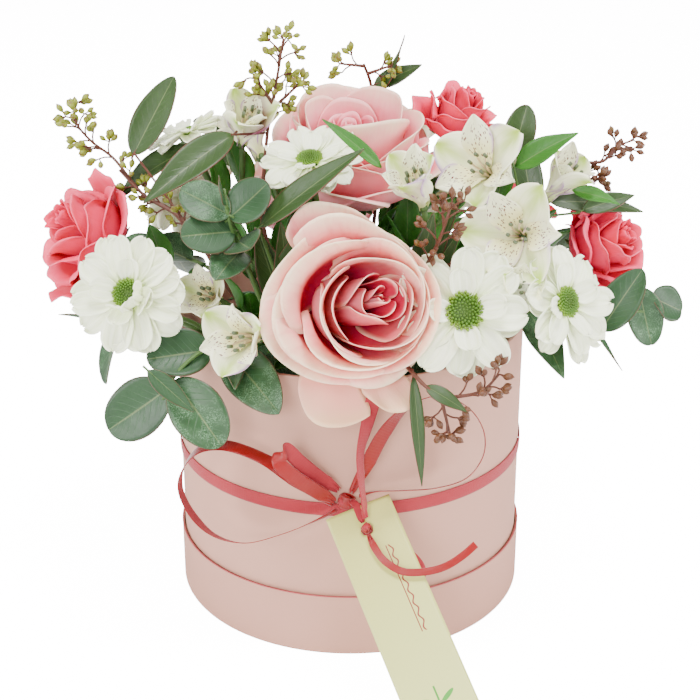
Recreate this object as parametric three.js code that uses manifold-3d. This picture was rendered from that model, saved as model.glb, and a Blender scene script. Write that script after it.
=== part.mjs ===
// Flower box: a round paper hat box of cut flowers, standing in its own upturned lid.
// Millimetres, +Z up, +Y to the back. The origin is the middle of the lid's underside.

import * as THREE from 'three';
import { mergeVertices } from 'three/addons/utils/BufferGeometryUtils.js';
import Module from 'manifold-3d';

const wasm = await Module();
wasm.setup();

// Driving dimensions
const GAP = 0.3;
const ROUND = 48;
const BOX_RADIUS = 100;
const BOX_WALL = 2.2;
const BOX_TOP = 166.8;
const LID_INNER = 100.6;
const LID_WALL = 1.3;
const LID_HEIGHT = 37;
const DISC_THICKNESS = 2;
const LINER_RADIUS = 97;
const LINER_WALL = 0.8;
const LINER_TOP = 130;
const FOAM_RADIUS = 93;
const FOAM_TOP = 148;
const FOAM_CHAMFER = 12;
const RIBBON_WIDTH = 7.8;
const RIBBON_THICKNESS = 0.6;
const BAND_MIDDLE = 91.3;
const TAG_WIDTH = 36;
const TAG_LENGTH = 168;
const TAG_THICKNESS = 0.5;
const TAG_HOLE_RADIUS = 3.4;
const TAG_HOLE_DROP = 14.5;
const STEM_FOCUS = new THREE.Vector3(0, 0, 92);
const STEM_START = 47;
const STEM_SIDES = 5;

const boxBottom = DISC_THICKNESS + GAP;
const linerBottom = boxBottom + DISC_THICKNESS + GAP;
const foamBottom = linerBottom + LINER_WALL + GAP;

const point = ([x, y, z]) => new THREE.Vector3(x, y, z);
const unit = (list) => point(list).normalize();

// Solids

function solidOf(geometry) {
  const bare = geometry.clone();
  bare.deleteAttribute('normal');
  bare.deleteAttribute('uv');
  const merged = mergeVertices(bare, 1e-4);
  const triangles = [];
  for (let i = 0; i < merged.index.count; i += 3) {
    const [a, b, c] = [0, 1, 2].map((k) => merged.index.getX(i + k));
    if (a !== b && b !== c && c !== a) triangles.push(a, b, c);
  }
  return new wasm.Manifold(new wasm.Mesh({
    numProp: 3,
    vertProperties: new Float32Array(merged.attributes.position.array),
    triVerts: new Uint32Array(triangles),
  }));
}

function geometryOf(solid) {
  const mesh = solid.getMesh();
  const geometry = new THREE.BufferGeometry();
  geometry.setAttribute('position', new THREE.BufferAttribute(new Float32Array(mesh.vertProperties), 3));
  geometry.setIndex(new THREE.BufferAttribute(new Uint32Array(mesh.triVerts), 1));
  geometry.computeVertexNormals();
  return geometry;
}

function joined(solids) {
  return solids.reduce((sum, solid) => sum.add(solid));
}

function largest(solid) {
  const parts = solid.decompose();
  return parts.reduce((best, part) => (part.volume() > best.volume() ? part : best));
}

// A closed profile of [radius, height] pairs turned about +Z.
function turned(profile, sides = ROUND) {
  const outline = profile.map(([r, z]) => new THREE.Vector2(r, z));
  const geometry = new THREE.LatheGeometry(outline, sides);
  geometry.rotateX(Math.PI / 2);
  const solid = solidOf(geometry);
  return solid.volume() < 0 ? solidOf(reversed(geometry)) : solid;
}

function reversed(geometry) {
  const copy = geometry.clone();
  const order = copy.index.array;
  for (let i = 0; i < order.length; i += 3) {
    [order[i], order[i + 1]] = [order[i + 1], order[i]];
  }
  return copy;
}

function ring(inner, outer, low, high) {
  return turned([[inner, low], [outer, low], [outer, high], [inner, high], [inner, low]]);
}

function disc(radius, low, high) {
  return turned([[0, low], [radius, low], [radius, high], [0, high]]);
}

// The matrix that takes +Z to a direction and the origin to a place.
function facing(place, direction, across = new THREE.Vector3(1, 0, 0)) {
  const z = direction.clone().normalize();
  const side = across.clone().addScaledVector(z, -across.dot(z));
  const x = side.lengthSq() > 1e-6 ? side.normalize() : new THREE.Vector3(0, 1, 0).cross(z).normalize();
  const y = z.clone().cross(x);
  return new THREE.Matrix4().makeBasis(x, y, z).setPosition(place);
}

function moved(solid, matrix) {
  return solid.transform([...matrix.elements]);
}

// A round rod along a smooth curve through the given places.
function rod(places, radius, steps, sides = STEM_SIDES) {
  const curve = new THREE.CatmullRomCurve3(places);
  const section = new THREE.Shape();
  for (let i = 0; i < sides; i += 1) {
    const turn = (2 * Math.PI * i) / sides;
    const [x, y] = [radius * Math.cos(turn), radius * Math.sin(turn)];
    if (i === 0) section.moveTo(x, y);
    else section.lineTo(x, y);
  }
  section.closePath();
  return solidOf(new THREE.ExtrudeGeometry(section, { steps, extrudePath: curve, bevelEnabled: false }));
}

// Flat ribbon: a thin strip whose width direction is given at every place. It is gathered
// narrower towards an end that runs into a knot.
const GATHERED = 0.42;
const GATHER_LENGTH = 0.1;

function gather(t, [start, end]) {
  const away = Math.min(start ? t : 1, end ? 1 - t : 1);
  return Math.min(1, GATHERED + ((1 - GATHERED) * away) / GATHER_LENGTH);
}

function strip(places, widths, width, thickness, steps, knotted = [true, true]) {
  const curve = new THREE.CatmullRomCurve3(places);
  const across = new THREE.CatmullRomCurve3(widths);
  const corners = [];
  const triangles = [];
  for (let i = 0; i <= steps; i += 1) {
    const t = i / steps;
    const middle = curve.getPoint(t);
    const ahead = curve.getTangent(t);
    const side = across.getPoint(t);
    side.addScaledVector(ahead, -side.dot(ahead)).normalize();
    const face = ahead.clone().cross(side);
    for (const [a, b] of [[-1, -1], [1, -1], [1, 1], [-1, 1]]) {
      const corner = middle.clone();
      const half = (width * gather(t, knotted)) / 2;
      corner.addScaledVector(side, a * half).addScaledVector(face, (b * thickness) / 2);
      corners.push(corner.x, corner.y, corner.z);
    }
  }
  for (let i = 0; i < steps; i += 1) {
    for (let k = 0; k < 4; k += 1) {
      const [a, b] = [4 * i + k, 4 * i + ((k + 1) % 4)];
      // The two wide faces are cut along the same diagonal, so a twist doesn't thin the strip.
      if (k === 2) triangles.push(a, b, a + 4, b, b + 4, a + 4);
      else triangles.push(a, b, b + 4, a, b + 4, a + 4);
    }
  }
  const end = 4 * steps;
  triangles.push(0, 2, 1, 0, 3, 2, end, end + 1, end + 2, end, end + 2, end + 3);
  const geometry = new THREE.BufferGeometry();
  geometry.setAttribute('position', new THREE.Float32BufferAttribute(corners, 3));
  geometry.setIndex(triangles);
  const solid = solidOf(geometry);
  return solid.volume() < 0 ? solidOf(reversed(geometry)) : solid;
}

// The assembly. Soft plant pieces give way to the ones placed before them.

const flowerBox = new THREE.Group();
flowerBox.name = 'flower_box';
const keepOut = [];

function addMesh(name, solid, [color, roughness]) {
  const material = new THREE.MeshStandardMaterial({ color, roughness, metalness: 0 });
  const mesh = new THREE.Mesh(geometryOf(solid), material);
  mesh.name = name;
  flowerBox.add(mesh);
}

function boxesMeet(a, b) {
  return [0, 1, 2].every((k) => a.min[k] < b.max[k] && b.min[k] < a.max[k]);
}

// make(grow) builds a piece with every face moved out by grow.
function addPlant(name, make, finish) {
  let solid = make(0);
  for (const other of keepOut) {
    if (boxesMeet(solid.boundingBox(), other.boundingBox())) solid = solid.subtract(other);
  }
  addMesh(name, largest(solid), finish);
  keepOut.push(make(GAP));
}

// Finishes: colour and roughness
const PINK_PAPER = ['#dcbdb4', 0.75];
const LID_PAPER = ['#dfb6b0', 0.75];
const CLEAR_FILM = ['#e4e8e6', 0.2];
const WET_FOAM = ['#3d6a3c', 0.95];
const SATIN = ['#cf2f35', 0.35];
const CARD = ['#cfcba2', 0.6];
const PINK_ROSE = ['#eebcb6', 0.6];
const CORAL_ROSE = ['#e5587a', 0.6];
const WHITE_DAISY = ['#eef0e6', 0.6];
const WHITE_LILY = ['#ece6d6', 0.6];
const LEAF = ['#7d9683', 0.65];
const SEED = ['#9c8a52', 0.7];

// Box, lid, liner and foam

const rimKeepOut = ring(LINER_RADIUS, BOX_RADIUS + 1.2, 0, BOX_TOP + GAP);
keepOut.push(rimKeepOut);

addMesh('lid_rim', ring(LID_INNER, LID_INNER + LID_WALL, 0, LID_HEIGHT), LID_PAPER);
addMesh('lid_disc', disc(LID_INNER - GAP, 0, DISC_THICKNESS), LID_PAPER);
addMesh('box_wall', ring(BOX_RADIUS - BOX_WALL, BOX_RADIUS, boxBottom, BOX_TOP), PINK_PAPER);
const boxFloorRadius = BOX_RADIUS - BOX_WALL - GAP;
addMesh('box_floor', disc(boxFloorRadius, boxBottom, boxBottom + DISC_THICKNESS), PINK_PAPER);
addMesh('liner', turned([
  [0, linerBottom], [LINER_RADIUS, linerBottom], [LINER_RADIUS, LINER_TOP],
  [LINER_RADIUS - LINER_WALL, LINER_TOP], [LINER_RADIUS - LINER_WALL, linerBottom + LINER_WALL],
  [0, linerBottom + LINER_WALL],
]), CLEAR_FILM);

// Ribbon round the box, its bow and tails

const bandRadius = BOX_RADIUS + GAP;
addMesh('ribbon_band', ring(
  bandRadius, bandRadius + RIBBON_THICKNESS,
  BAND_MIDDLE - RIBBON_WIDTH / 2, BAND_MIDDLE + RIBBON_WIDTH / 2,
), SATIN);

const KNOT_PLACE = point([-2, -104.9, 98.4]);
const KNOT_HALF = [5.4, 3.2, 4.4];
addMesh('ribbon_knot', moved(
  solidOf(new THREE.SphereGeometry(1, 12, 8)),
  new THREE.Matrix4().makeScale(...KNOT_HALF).setPosition(KNOT_PLACE),
), SATIN);

// Each stretch of ribbon: the places it runs through, and which way its width points.
const STRETCHES = {
  loop_left: {
    places: [[-8.8, -106, 97], [-26, -109.5, 111.5], [-46, -109, 126], [-66, -104, 131], [-80, -99, 126],
      [-90, -95, 111], [-91, -94, 98], [-84, -98, 85], [-73, -102, 76], [-57, -105, 73],
      [-38, -107, 79], [-21, -108, 87], [-7.2, -106.6, 94]],
    widths: [[0.45, 0.2, 0.85], [0.4, 0.3, 0.85], [0.1, 0.9, 0.4], [0, 1, 0.3], [0.1, 1, 0.2],
      [0.2, 1, 0.1], [0.2, 1, -0.1], [0.1, 1, 0], [0, 1, -0.2], [0, 1, -0.2], [0, 1, -0.1],
      [0, 1, 0], [0, 1, 0]],
    steps: 36,
  },
  loop_small: {
    places: [[-8.2, -109, 100.4], [-17, -113.5, 108.5], [-30, -118, 120.5], [-36.5, -119, 129],
      [-34, -115, 134], [-26, -112, 125], [-15, -108, 113], [-6, -104.4, 105]],
    widths: [[0.6, 0.1, 0.8], [0.6, 0.2, 0.8], [0.6, 0.3, 0.8], [0.6, 0.4, 0.7], [0.6, 0.4, 0.7],
      [0.7, 0.3, 0.6], [0.7, 0.2, 0.6], [0.7, 0.1, 0.6]],
    steps: 24,
  },
  loop_right: {
    places: [[0.8, -106.8, 104.4], [8, -110.5, 121], [18, -113, 143], [30, -112, 157], [46, -110, 162],
      [61, -107, 154], [70, -103, 138], [70, -101.5, 123], [62, -103, 111.5], [46, -106, 107],
      [28, -107, 106], [13, -106.5, 105], [5.2, -105.6, 102]],
    widths: [[1, 0, -0.2], [0.9, 0.1, -0.4], [0.7, 0.4, -0.4], [0.3, 1, -0.2], [0, 1, 0.2],
      [-0.2, 1, 0.2], [-0.2, 1, 0.1], [-0.2, 1, 0], [-0.2, 1, 0], [0, 1, 0], [0, 1, 0],
      [0, 1, 0.1], [0, 1, 0.2]],
    steps: 36,
  },
  strand_up: {
    places: [[8.3, -120.4, 97], [7, -119, 108], [5.8, -118.5, 120], [5.4, -117, 133], [8.8, -114, 148],
      [12, -109.5, 160]],
    widths: [[1, 0, 0], [0.5, 0.8, 0], [0.4, 0.9, 0], [0.9, 0.4, 0], [1, 0.1, -0.1], [1, 0, 0]],
    steps: 14,
  },
  tail_side: {
    places: [[-0.4, -102.6, 93.2], [6, -104.4, 84], [15, -110, 77], [24, -118, 76], [31, -125, 76],
      [36, -130, 71], [34, -133, 64], [27, -136, 58]],
    widths: [[1, -0.2, 0.4], [0.9, 0, 0.6], [0.5, 0.1, 0.8], [0.3, 0.4, 0.8], [0.5, 0.5, 0.7],
      [0.8, 0.4, 0.4], [0.9, 0.3, -0.2], [0.8, 0.3, -0.4]],
    steps: 18,
  },
};

for (const [name, { places, widths, steps }] of Object.entries(STRETCHES)) {
  const flat = strip(places.map(point), widths.map(point), RIBBON_WIDTH, RIBBON_THICKNESS, steps);
  addMesh(name, flat, SATIN);
}

// Gift tag: a card that hangs by its hole and leans out to the table

const tagDown = unit([0.354, -0.764, -0.54]);
const tagAcross = unit([0.926, 0.204, 0.318]);
const tagFront = tagDown.clone().cross(tagAcross);
const tagTop = point([3.85, -110.4, 98.0]);
const tagHole = tagTop.clone().addScaledVector(tagDown, TAG_HOLE_DROP);

function onTag(down, across, front) {
  return tagTop.clone().addScaledVector(tagDown, down).addScaledVector(tagAcross, across)
    .addScaledVector(tagFront, front);
}

function card() {
  const outline = new THREE.Shape();
  outline.moveTo(-TAG_WIDTH / 2, 0);
  outline.lineTo(TAG_WIDTH / 2, 0);
  outline.lineTo(TAG_WIDTH / 2, TAG_LENGTH);
  outline.lineTo(-TAG_WIDTH / 2, TAG_LENGTH);
  outline.closePath();
  const hole = new THREE.Path();
  hole.absarc(0, TAG_HOLE_DROP, TAG_HOLE_RADIUS, 0, 2 * Math.PI, true);
  outline.holes.push(hole);
  const sheet = { depth: TAG_THICKNESS, bevelEnabled: false, curveSegments: 9 };
  const geometry = new THREE.ExtrudeGeometry(outline, sheet);
  geometry.translate(0, 0, -TAG_THICKNESS / 2);
  const placed = new THREE.Matrix4().makeBasis(tagAcross, tagDown, tagAcross.clone().cross(tagDown));
  return moved(solidOf(geometry), placed.setPosition(tagTop));
}

addMesh('gift_tag', card(), CARD);

// The knot sits on the card's face, with its gathered ribbon through the hole to a turn behind.
const TAG_KNOT_RADIUS = 2.6;
const NECK_RADIUS = 1.8;
const knotRise = TAG_KNOT_RADIUS + TAG_THICKNESS / 2 + GAP;

function knotBall(front) {
  const place = new THREE.Matrix4().setPosition(onTag(TAG_HOLE_DROP, 0, front));
  return moved(solidOf(new THREE.SphereGeometry(TAG_KNOT_RADIUS, 10, 7)), place);
}

addMesh('tag_knot', joined([
  knotBall(knotRise), knotBall(-knotRise),
  rod([onTag(TAG_HOLE_DROP, 0, knotRise), onTag(TAG_HOLE_DROP, 0, -knotRise)], NECK_RADIUS, 1, 8),
]), SATIN);

// The tie leaves the bow's knot and comes over the card's top edge to the knot on its face.
const tieWidth = RIBBON_WIDTH / 2;
const tieStart = KNOT_PLACE.clone().add(point([2.4, -3.8, 2.2]));
const tieEnd = onTag(TAG_HOLE_DROP - 3.6, -0.6, 2.9);
addMesh('tag_tie', strip(
  [tieStart, onTag(-0.4, -0.6, 3.2), onTag(4, -0.6, 3.2), tieEnd],
  [tagAcross, tagAcross, tagAcross, tagAcross], tieWidth, RIBBON_THICKNESS, 6,
), SATIN);

const TAIL_PLACES = [[18.6, -0.4, 2.6], [27, 0, 3.4], [36, 2, 4.4], [45, 8, 5], [50, 18, 5.4],
  [52, 29, 6], [50.5, 40, 7], [48, 48, 8]];
const TAIL_WIDTHS = [[0.9, 0.1, 0.3], [0.8, -0.1, 0.6], [0.6, -0.4, 0.7], [0.2, -0.7, 0.7],
  [0, -0.6, 0.8], [0, -0.5, 0.9], [0, -0.3, 0.9], [0, -0.2, 1]];
addMesh('tail_front', strip(
  TAIL_PLACES.map(([down, across, front]) => onTag(down, across, front)),
  TAIL_WIDTHS.map(point), tieWidth, RIBBON_THICKNESS, 20,
), SATIN);

// Flowers. Each one has the middle of its bloom, the way it faces, and its radius.

function stemPlaces(base, face) {
  const away = base.clone().sub(STEM_FOCUS).normalize();
  const start = STEM_FOCUS.clone().addScaledVector(away, STEM_START);
  const reach = base.distanceTo(start);
  const under = base.clone().addScaledVector(face, -0.3 * reach);
  const lower = start.clone().addScaledVector(away, 0.35 * reach);
  return [start, lower, under.lerp(lower, 0.25), base];
}

function bloom(profile, sides, depthBelow, stemRadius) {
  return ({ at, faces, radius }) => (grow) => {
    const face = unit(faces);
    const base = point(at).addScaledVector(face, -depthBelow * radius);
    const topFrom = profile.findIndex(([r]) => r === 1);
    const outline = profile.map(([r, z], i) => [
      r > 0 ? r * radius + grow : 0,
      (z + depthBelow) * radius + (i > topFrom ? 2 * grow : -grow),
    ]);
    const head = moved(turned(outline, sides), facing(base, face));
    const places = stemPlaces(base, face);
    const stem = rod([...places, base.clone().addScaledVector(face, 0.3 * radius)], stemRadius + grow, 5);
    return head.add(stem);
  };
}

// Profiles are in bloom radii, from the calyx on the axis round the rim and back to the axis.
const rose = bloom([[0, -0.75], [0.3, -0.75], [0.85, -0.35], [1, 0.15], [0.8, 0.5], [0.3, 0.62],
  [0, 0.58]], 11, 0.75, 3);
const daisy = bloom([[0, -0.26], [0.16, -0.26], [1, -0.04], [0.97, 0.1], [0.25, 0.16], [0, 0.18]],
  12, 0.26, 2.2);
const lily = bloom([[0, -1], [0.12, -1], [0.6, -0.1], [1, 0.2], [0.96, 0.3], [0.45, 0.05], [0, -0.2]],
  9, 1, 2);

const FLOWERS = [
  ['rose_front', rose, { at: [-3, -103, 213], faces: [0.14, -0.87, 0.47], radius: 45 }, PINK_ROSE],
  ['rose_back', rose, { at: [3, 16, 263], faces: [0.03, -0.2, 0.98], radius: 47 }, PINK_ROSE],
  ['rose_rear', rose, { at: [-22, 88, 218], faces: [-0.1, 0.8, 0.6], radius: 43 }, PINK_ROSE],
  ['spray_rose_left', rose, { at: [-150, -6, 215], faces: [-0.75, -0.35, 0.5], radius: 29 }, CORAL_ROSE],
  ['spray_rose_upper', rose, { at: [64, 42, 272], faces: [0.4, -0.1, 0.9], radius: 23 }, CORAL_ROSE],
  ['spray_rose_right', rose, { at: [145, -6, 210], faces: [0.7, -0.5, 0.45], radius: 26 }, CORAL_ROSE],
  ['spray_rose_rear', rose, { at: [98, 84, 214], faces: [0.65, 0.65, 0.5], radius: 28 }, CORAL_ROSE],
  ['daisy_left', daisy, { at: [-113, -92, 211], faces: [-0.12, -0.9, 0.42], radius: 31 }, WHITE_DAISY],
  ['daisy_centre', daisy, { at: [58, -98, 204], faces: [0.08, -0.9, 0.42], radius: 35 }, WHITE_DAISY],
  ['daisy_right', daisy, { at: [111, -80, 202], faces: [0.65, -0.65, 0.35], radius: 32 }, WHITE_DAISY],
  ['daisy_top', daisy, { at: [-21, -46, 268], faces: [-0.1, -0.35, 0.93], radius: 27 }, WHITE_DAISY],
  ['daisy_far_left', daisy, { at: [-92, 12, 268], faces: [-0.4, 0.1, 0.9], radius: 22 }, WHITE_DAISY],
  ['daisy_rear_left', daisy, { at: [-98, 74, 214], faces: [-0.6, 0.7, 0.4], radius: 31 }, WHITE_DAISY],
  ['daisy_rear_right', daisy, { at: [48, 118, 204], faces: [0.25, 0.88, 0.42], radius: 31 }, WHITE_DAISY],
  ['alstroemeria_upper_right', lily,
    { at: [67, -42, 266], faces: [0.25, -0.8, 0.55], radius: 26 }, WHITE_LILY],
  ['alstroemeria_right', lily, { at: [84, -80, 240], faces: [0.2, -0.85, 0.48], radius: 27 }, WHITE_LILY],
  ['alstroemeria_centre', lily,
    { at: [32, -70, 266], faces: [-0.15, -0.45, 0.88], radius: 22 }, WHITE_LILY],
  ['alstroemeria_far_right', lily,
    { at: [118, -24, 256], faces: [0.55, -0.3, 0.78], radius: 22 }, WHITE_LILY],
  ['alstroemeria_left', lily, { at: [-58, -106, 192], faces: [0.1, -0.9, 0.42], radius: 22 }, WHITE_LILY],
  ['alstroemeria_low_left', lily,
    { at: [-76, -78, 206], faces: [-0.35, -0.8, 0.48], radius: 17 }, WHITE_LILY],
  ['alstroemeria_upper_left', lily,
    { at: [-56, -4, 283], faces: [-0.25, -0.5, 0.83], radius: 22 }, WHITE_LILY],
  ['alstroemeria_rear_left', lily,
    { at: [-62, 62, 262], faces: [-0.4, 0.6, 0.7], radius: 25 }, WHITE_LILY],
  ['alstroemeria_rear_right', lily,
    { at: [86, 40, 246], faces: [0.7, 0.4, 0.6], radius: 24 }, WHITE_LILY],
  ['alstroemeria_rear', lily, { at: [32, 84, 252], faces: [0.15, 0.75, 0.65], radius: 25 }, WHITE_LILY],
];

for (const [name, kind, place, finish] of FLOWERS) addPlant(name, kind(place), finish);

// Foliage. Each sprig has a stem route and its leaves: where each starts and ends, its width,
// and the way its upper side faces.

const LEAF_THICKNESS = 1.2;
const LEAF_POINTS = 8;

function leafSolid(start, end, width, faces, grow) {
  const along = end.clone().sub(start);
  const length = along.length();
  const outline = new THREE.Shape();
  for (let i = 0; i < LEAF_POINTS; i += 1) {
    const turn = (2 * Math.PI * i) / LEAF_POINTS;
    const x = (width / 2 + grow) * Math.sin(turn);
    const y = length / 2 - (length / 2 + grow) * Math.cos(turn);
    if (i === 0) outline.moveTo(x, y);
    else outline.lineTo(x, y);
  }
  outline.closePath();
  const depth = LEAF_THICKNESS + 2 * grow;
  const geometry = new THREE.ExtrudeGeometry(outline, { depth, bevelEnabled: false });
  geometry.translate(0, 0, -depth / 2);
  const y = along.normalize();
  const x = y.clone().cross(faces).normalize();
  const placed = new THREE.Matrix4().makeBasis(x, y, x.clone().cross(y)).setPosition(start);
  return moved(solidOf(geometry), placed);
}

const FRONT = [0, -0.8, 0.6];
const REAR = [0, 0.8, 0.6];
const LEFT = [-0.8, -0.2, 0.6];
const RIGHT = [0.8, -0.2, 0.6];

function sprig({ route, radius = 1.4, branches = [], leaves = [], seeds = [] }) {
  return (grow) => {
    const parts = [rod(route.map(point), radius + grow, 2 * route.length - 1)];
    for (const [start, end, width, faces = FRONT] of leaves) {
      parts.push(leafSolid(point(start), point(end), width, unit(faces), grow));
    }
    for (const places of branches) parts.push(rod(places.map(point), radius * 0.7 + grow, 2));
    for (const [places, thick] of seeds) {
      parts.push(rod(places.map(point), thick + grow, places.length));
    }
    return joined(parts);
  };
}

const SPRIGS = [
  ['seeded_eucalyptus_left', LEAF, {
    route: [[-42, -10, 146], [-70, -18, 190], [-92, -15, 226], [-114, -10, 239], [-128, -4, 252]],
    seeds: [[[[-114, -10, 239], [-132, 0, 258], [-143, 0, 267], [-150, 0, 276], [-154, 0, 288]], 5]],
    branches: [[[-92, -15, 226], [-119, -8, 263]], [[-92, -15, 226], [-87, 6, 263]]],
    leaves: [
      [[-119, -8, 262], [-97, 10, 301], 19],
      [[-87, 6, 262], [-130, -2, 234], 17, [-0.2, -0.5, 0.85]],
    ],
  }],
  ['seeded_eucalyptus_top', LEAF, {
    route: [[-22, 4, 146], [-42, 2, 190], [-50, 0, 226], [-48, 0, 250], [-45, 0, 276], [-40, 0, 299]],
    seeds: [[[[-45, 0, 276], [-41, 0, 296], [-38, 0, 312], [-36, 0, 324]], 5],
      [[[-41, 0, 286], [-53, 0, 305]], 3.5],
      [[[-42, 0, 286], [-27, 0, 300]], 3.5]],
    branches: [[[-46, 0, 272], [-64, -20, 276]]],
    leaves: [[[-63, -19, 276], [-108, -58, 249], 19, [0.2, -0.6, 0.75]]],
  }],
  ['seeded_eucalyptus_back', LEAF, {
    route: [[8, 40, 146], [14, 72, 190], [18, 78, 240], [12, 64, 286], [8, 58, 298]],
    seeds: [[[[8, 58, 297], [-6, 55, 299]], 4], [[[10, 60, 292], [24, 55, 298]], 4]],
    leaves: [[[16, 70, 280], [31, 42, 318], 13, [0.9, -0.3, 0.3]], [[14, 66, 284], [42, 62, 297], 11]],
  }],
  ['seeded_eucalyptus_right', LEAF, {
    route: [[42, 6, 146], [80, 6, 196], [112, 2, 232], [126, 0, 250], [132, 0, 257]],
    seeds: [[[[130, 0, 255], [141, 0, 256], [148, 0, 264], [157, 0, 268]], 4.5],
      [[[122, 1, 245], [140, -4, 247]], 4]],
    leaves: [
      [[112, 2, 232], [167, 8, 224], 13, [0.1, -0.7, 0.7]],
      [[104, 4, 224], [98, 44, 270], 17, [0.2, -0.8, 0.6]],
    ],
  }],
  ['seeded_eucalyptus_middle', LEAF, {
    route: [[24, -34, 146], [32, -54, 190], [38, -80, 218], [44, -92, 236]],
    seeds: [[[[38, -80, 219], [46, -92, 243], [51, -92, 260]], 4.5]],
    leaves: [[[26, -40, 160], [58, -70, 262], 9, [-0.7, -0.7, 0.2]]],
  }],
  ['seeded_eucalyptus_low', LEAF, {
    route: [[26, -66, 144], [28, -90, 172], [30, -112, 178], [38, -120, 172], [49, -122, 164]],
    seeds: [[[[46, -122, 166], [66, -122, 170], [75, -121, 179]], 4],
      [[[46, -122, 166], [51, -123, 146]], 4]],
    leaves: [[[32, -115, 176], [37, -125, 118], 7], [[38, -120, 172], [59, -125, 160], 8]],
  }],
  ['long_eucalyptus_centre', LEAF, {
    route: [[-24, -30, 146], [-36, -52, 196], [-44, -62, 226], [-47, -72, 240]],
    leaves: [[[-47, -72, 240], [7, -84, 285], 16, [-0.3, -0.6, 0.75]]],
  }],
  ['long_eucalyptus_right', LEAF, {
    route: [[54, -12, 146], [88, -20, 204], [100, -30, 236]],
    leaves: [[[98, -28, 232], [127, -8, 280], 12, [-0.2, -0.8, 0.6]], [[92, -22, 214],
    [153, -10, 238], 10]],
  }],
  ['long_eucalyptus_rear', LEAF, {
    route: [[-30, 44, 146], [-62, 84, 196], [-72, 98, 232], [-76, 104, 262]],
    leaves: [
      [[-70, 96, 226], [-110, 104, 250], 19, REAR],
      [[-74, 101, 246], [-50, 112, 284], 18, REAR],
      [[-66, 90, 210], [-50, 126, 226], 17, REAR],
      [[-76, 104, 260], [-96, 98, 296], 16, REAR],
    ],
  }],
  ['silver_dollar_upper', LEAF, {
    route: [[-30, -36, 146], [-46, -58, 190], [-56, -68, 224], [-62, -74, 244], [-64, -76, 262]],
    leaves: [
      [[-62, -75, 248], [-87, -70, 260], 21], [[-63, -76, 254], [-66, -80, 270], 12, LEFT],
      [[-62, -74, 246], [-42, -72, 264], 22], [[-60, -72, 238], [-86, -86, 240], 24],
      [[-58, -70, 232], [-50, -94, 236], 22], [[-57, -68, 226], [-68, -96, 220], 20],
    ],
  }],
  ['silver_dollar_low_left', LEAF, {
    route: [[-46, -56, 142], [-62, -80, 174], [-76, -98, 182], [-90, -108, 172], [-96, -110, 160]],
    leaves: [
      [[-72, -94, 181], [-104, -104, 180], 26], [[-93, -109, 166], [-126, -104, 140], 31],
      [[-90, -108, 170], [-66, -119, 138], 28], [[-86, -106, 175], [-101, -120, 156], 19],
      [[-64, -84, 176], [-36, -118, 156], 26], [[-60, -78, 172], [-58, -120, 170], 12],
    ],
  }],
  ['silver_dollar_left', LEAF, {
    route: [[-52, -30, 144], [-88, -50, 180], [-112, -62, 190], [-128, -74, 184]],
    leaves: [
      [[-120, -68, 188], [-128, -90, 160], 23, LEFT], [[-112, -62, 190], [-140, -52, 216], 22, LEFT],
      [[-128, -74, 184], [-152, -82, 196], 10, LEFT], [[-100, -56, 186], [-128, -30, 172], 24, LEFT],
    ],
  }],
  ['silver_dollar_right', LEAF, {
    route: [[58, -26, 144], [96, -44, 182], [124, -50, 186], [150, -46, 184], [168, -38, 181]],
    leaves: [
      [[134, -50, 186], [164, -38, 202], 29, [0.2, -0.8, 0.55]],
      [[160, -42, 183], [173, -40, 160], 21, [0.3, -0.9, 0.3]],
      [[166, -39, 181], [186, -26, 184], 22, [0.6, -0.6, 0.5]],
      [[126, -50, 186], [147, -68, 158], 8, RIGHT],
      [[98, -46, 183], [112, -92, 164], 18],
    ],
  }],
  ['silver_dollar_rear_left', LEAF, {
    route: [[-54, 26, 144], [-86, 44, 178], [-108, 54, 180], [-124, 60, 168]],
    leaves: [
      [[-96, 48, 181], [-122, 30, 196], 25, LEFT], [[-112, 56, 178], [-144, 60, 184], 26, LEFT],
      [[-122, 60, 170], [-134, 76, 148], 24, LEFT], [[-104, 53, 180], [-102, 84, 160], 26, REAR],
    ],
  }],
  ['silver_dollar_rear', LEAF, {
    route: [[14, 56, 142], [22, 86, 176], [26, 108, 176], [28, 120, 162]],
    leaves: [
      [[24, 98, 178], [0, 124, 176], 26, REAR], [[26, 110, 174], [54, 122, 164], 24, REAR],
      [[28, 119, 164], [14, 128, 138], 25, REAR],
    ],
  }],
  ['silver_dollar_rear_right', LEAF, {
    route: [[56, 30, 144], [86, 50, 178], [112, 62, 182], [134, 66, 176]],
    leaves: [
      [[104, 58, 182], [96, 92, 170], 25, REAR], [[118, 63, 181], [150, 46, 196], 26, RIGHT],
      [[130, 66, 178], [146, 82, 156], 23, RIGHT], [[134, 66, 176], [164, 70, 186], 20, RIGHT],
    ],
  }],
];

for (const [name, finish, shape] of SPRIGS) addPlant(name, sprig(shape), seedFinish(shape, finish));

function seedFinish(shape, finish) {
  return shape.seeds ? SEED : finish;
}

// The foam is cut last, so that every stem has its hole.
let foam = turned([
  [0, foamBottom], [FOAM_RADIUS, foamBottom], [FOAM_RADIUS, FOAM_TOP - FOAM_CHAMFER],
  [FOAM_RADIUS - FOAM_CHAMFER, FOAM_TOP], [0, FOAM_TOP],
], 32);
for (const plant of keepOut.slice(1)) foam = foam.subtract(plant);
addMesh('floral_foam', largest(foam), WET_FOAM);

export default flowerBox;
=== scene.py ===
import math

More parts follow.
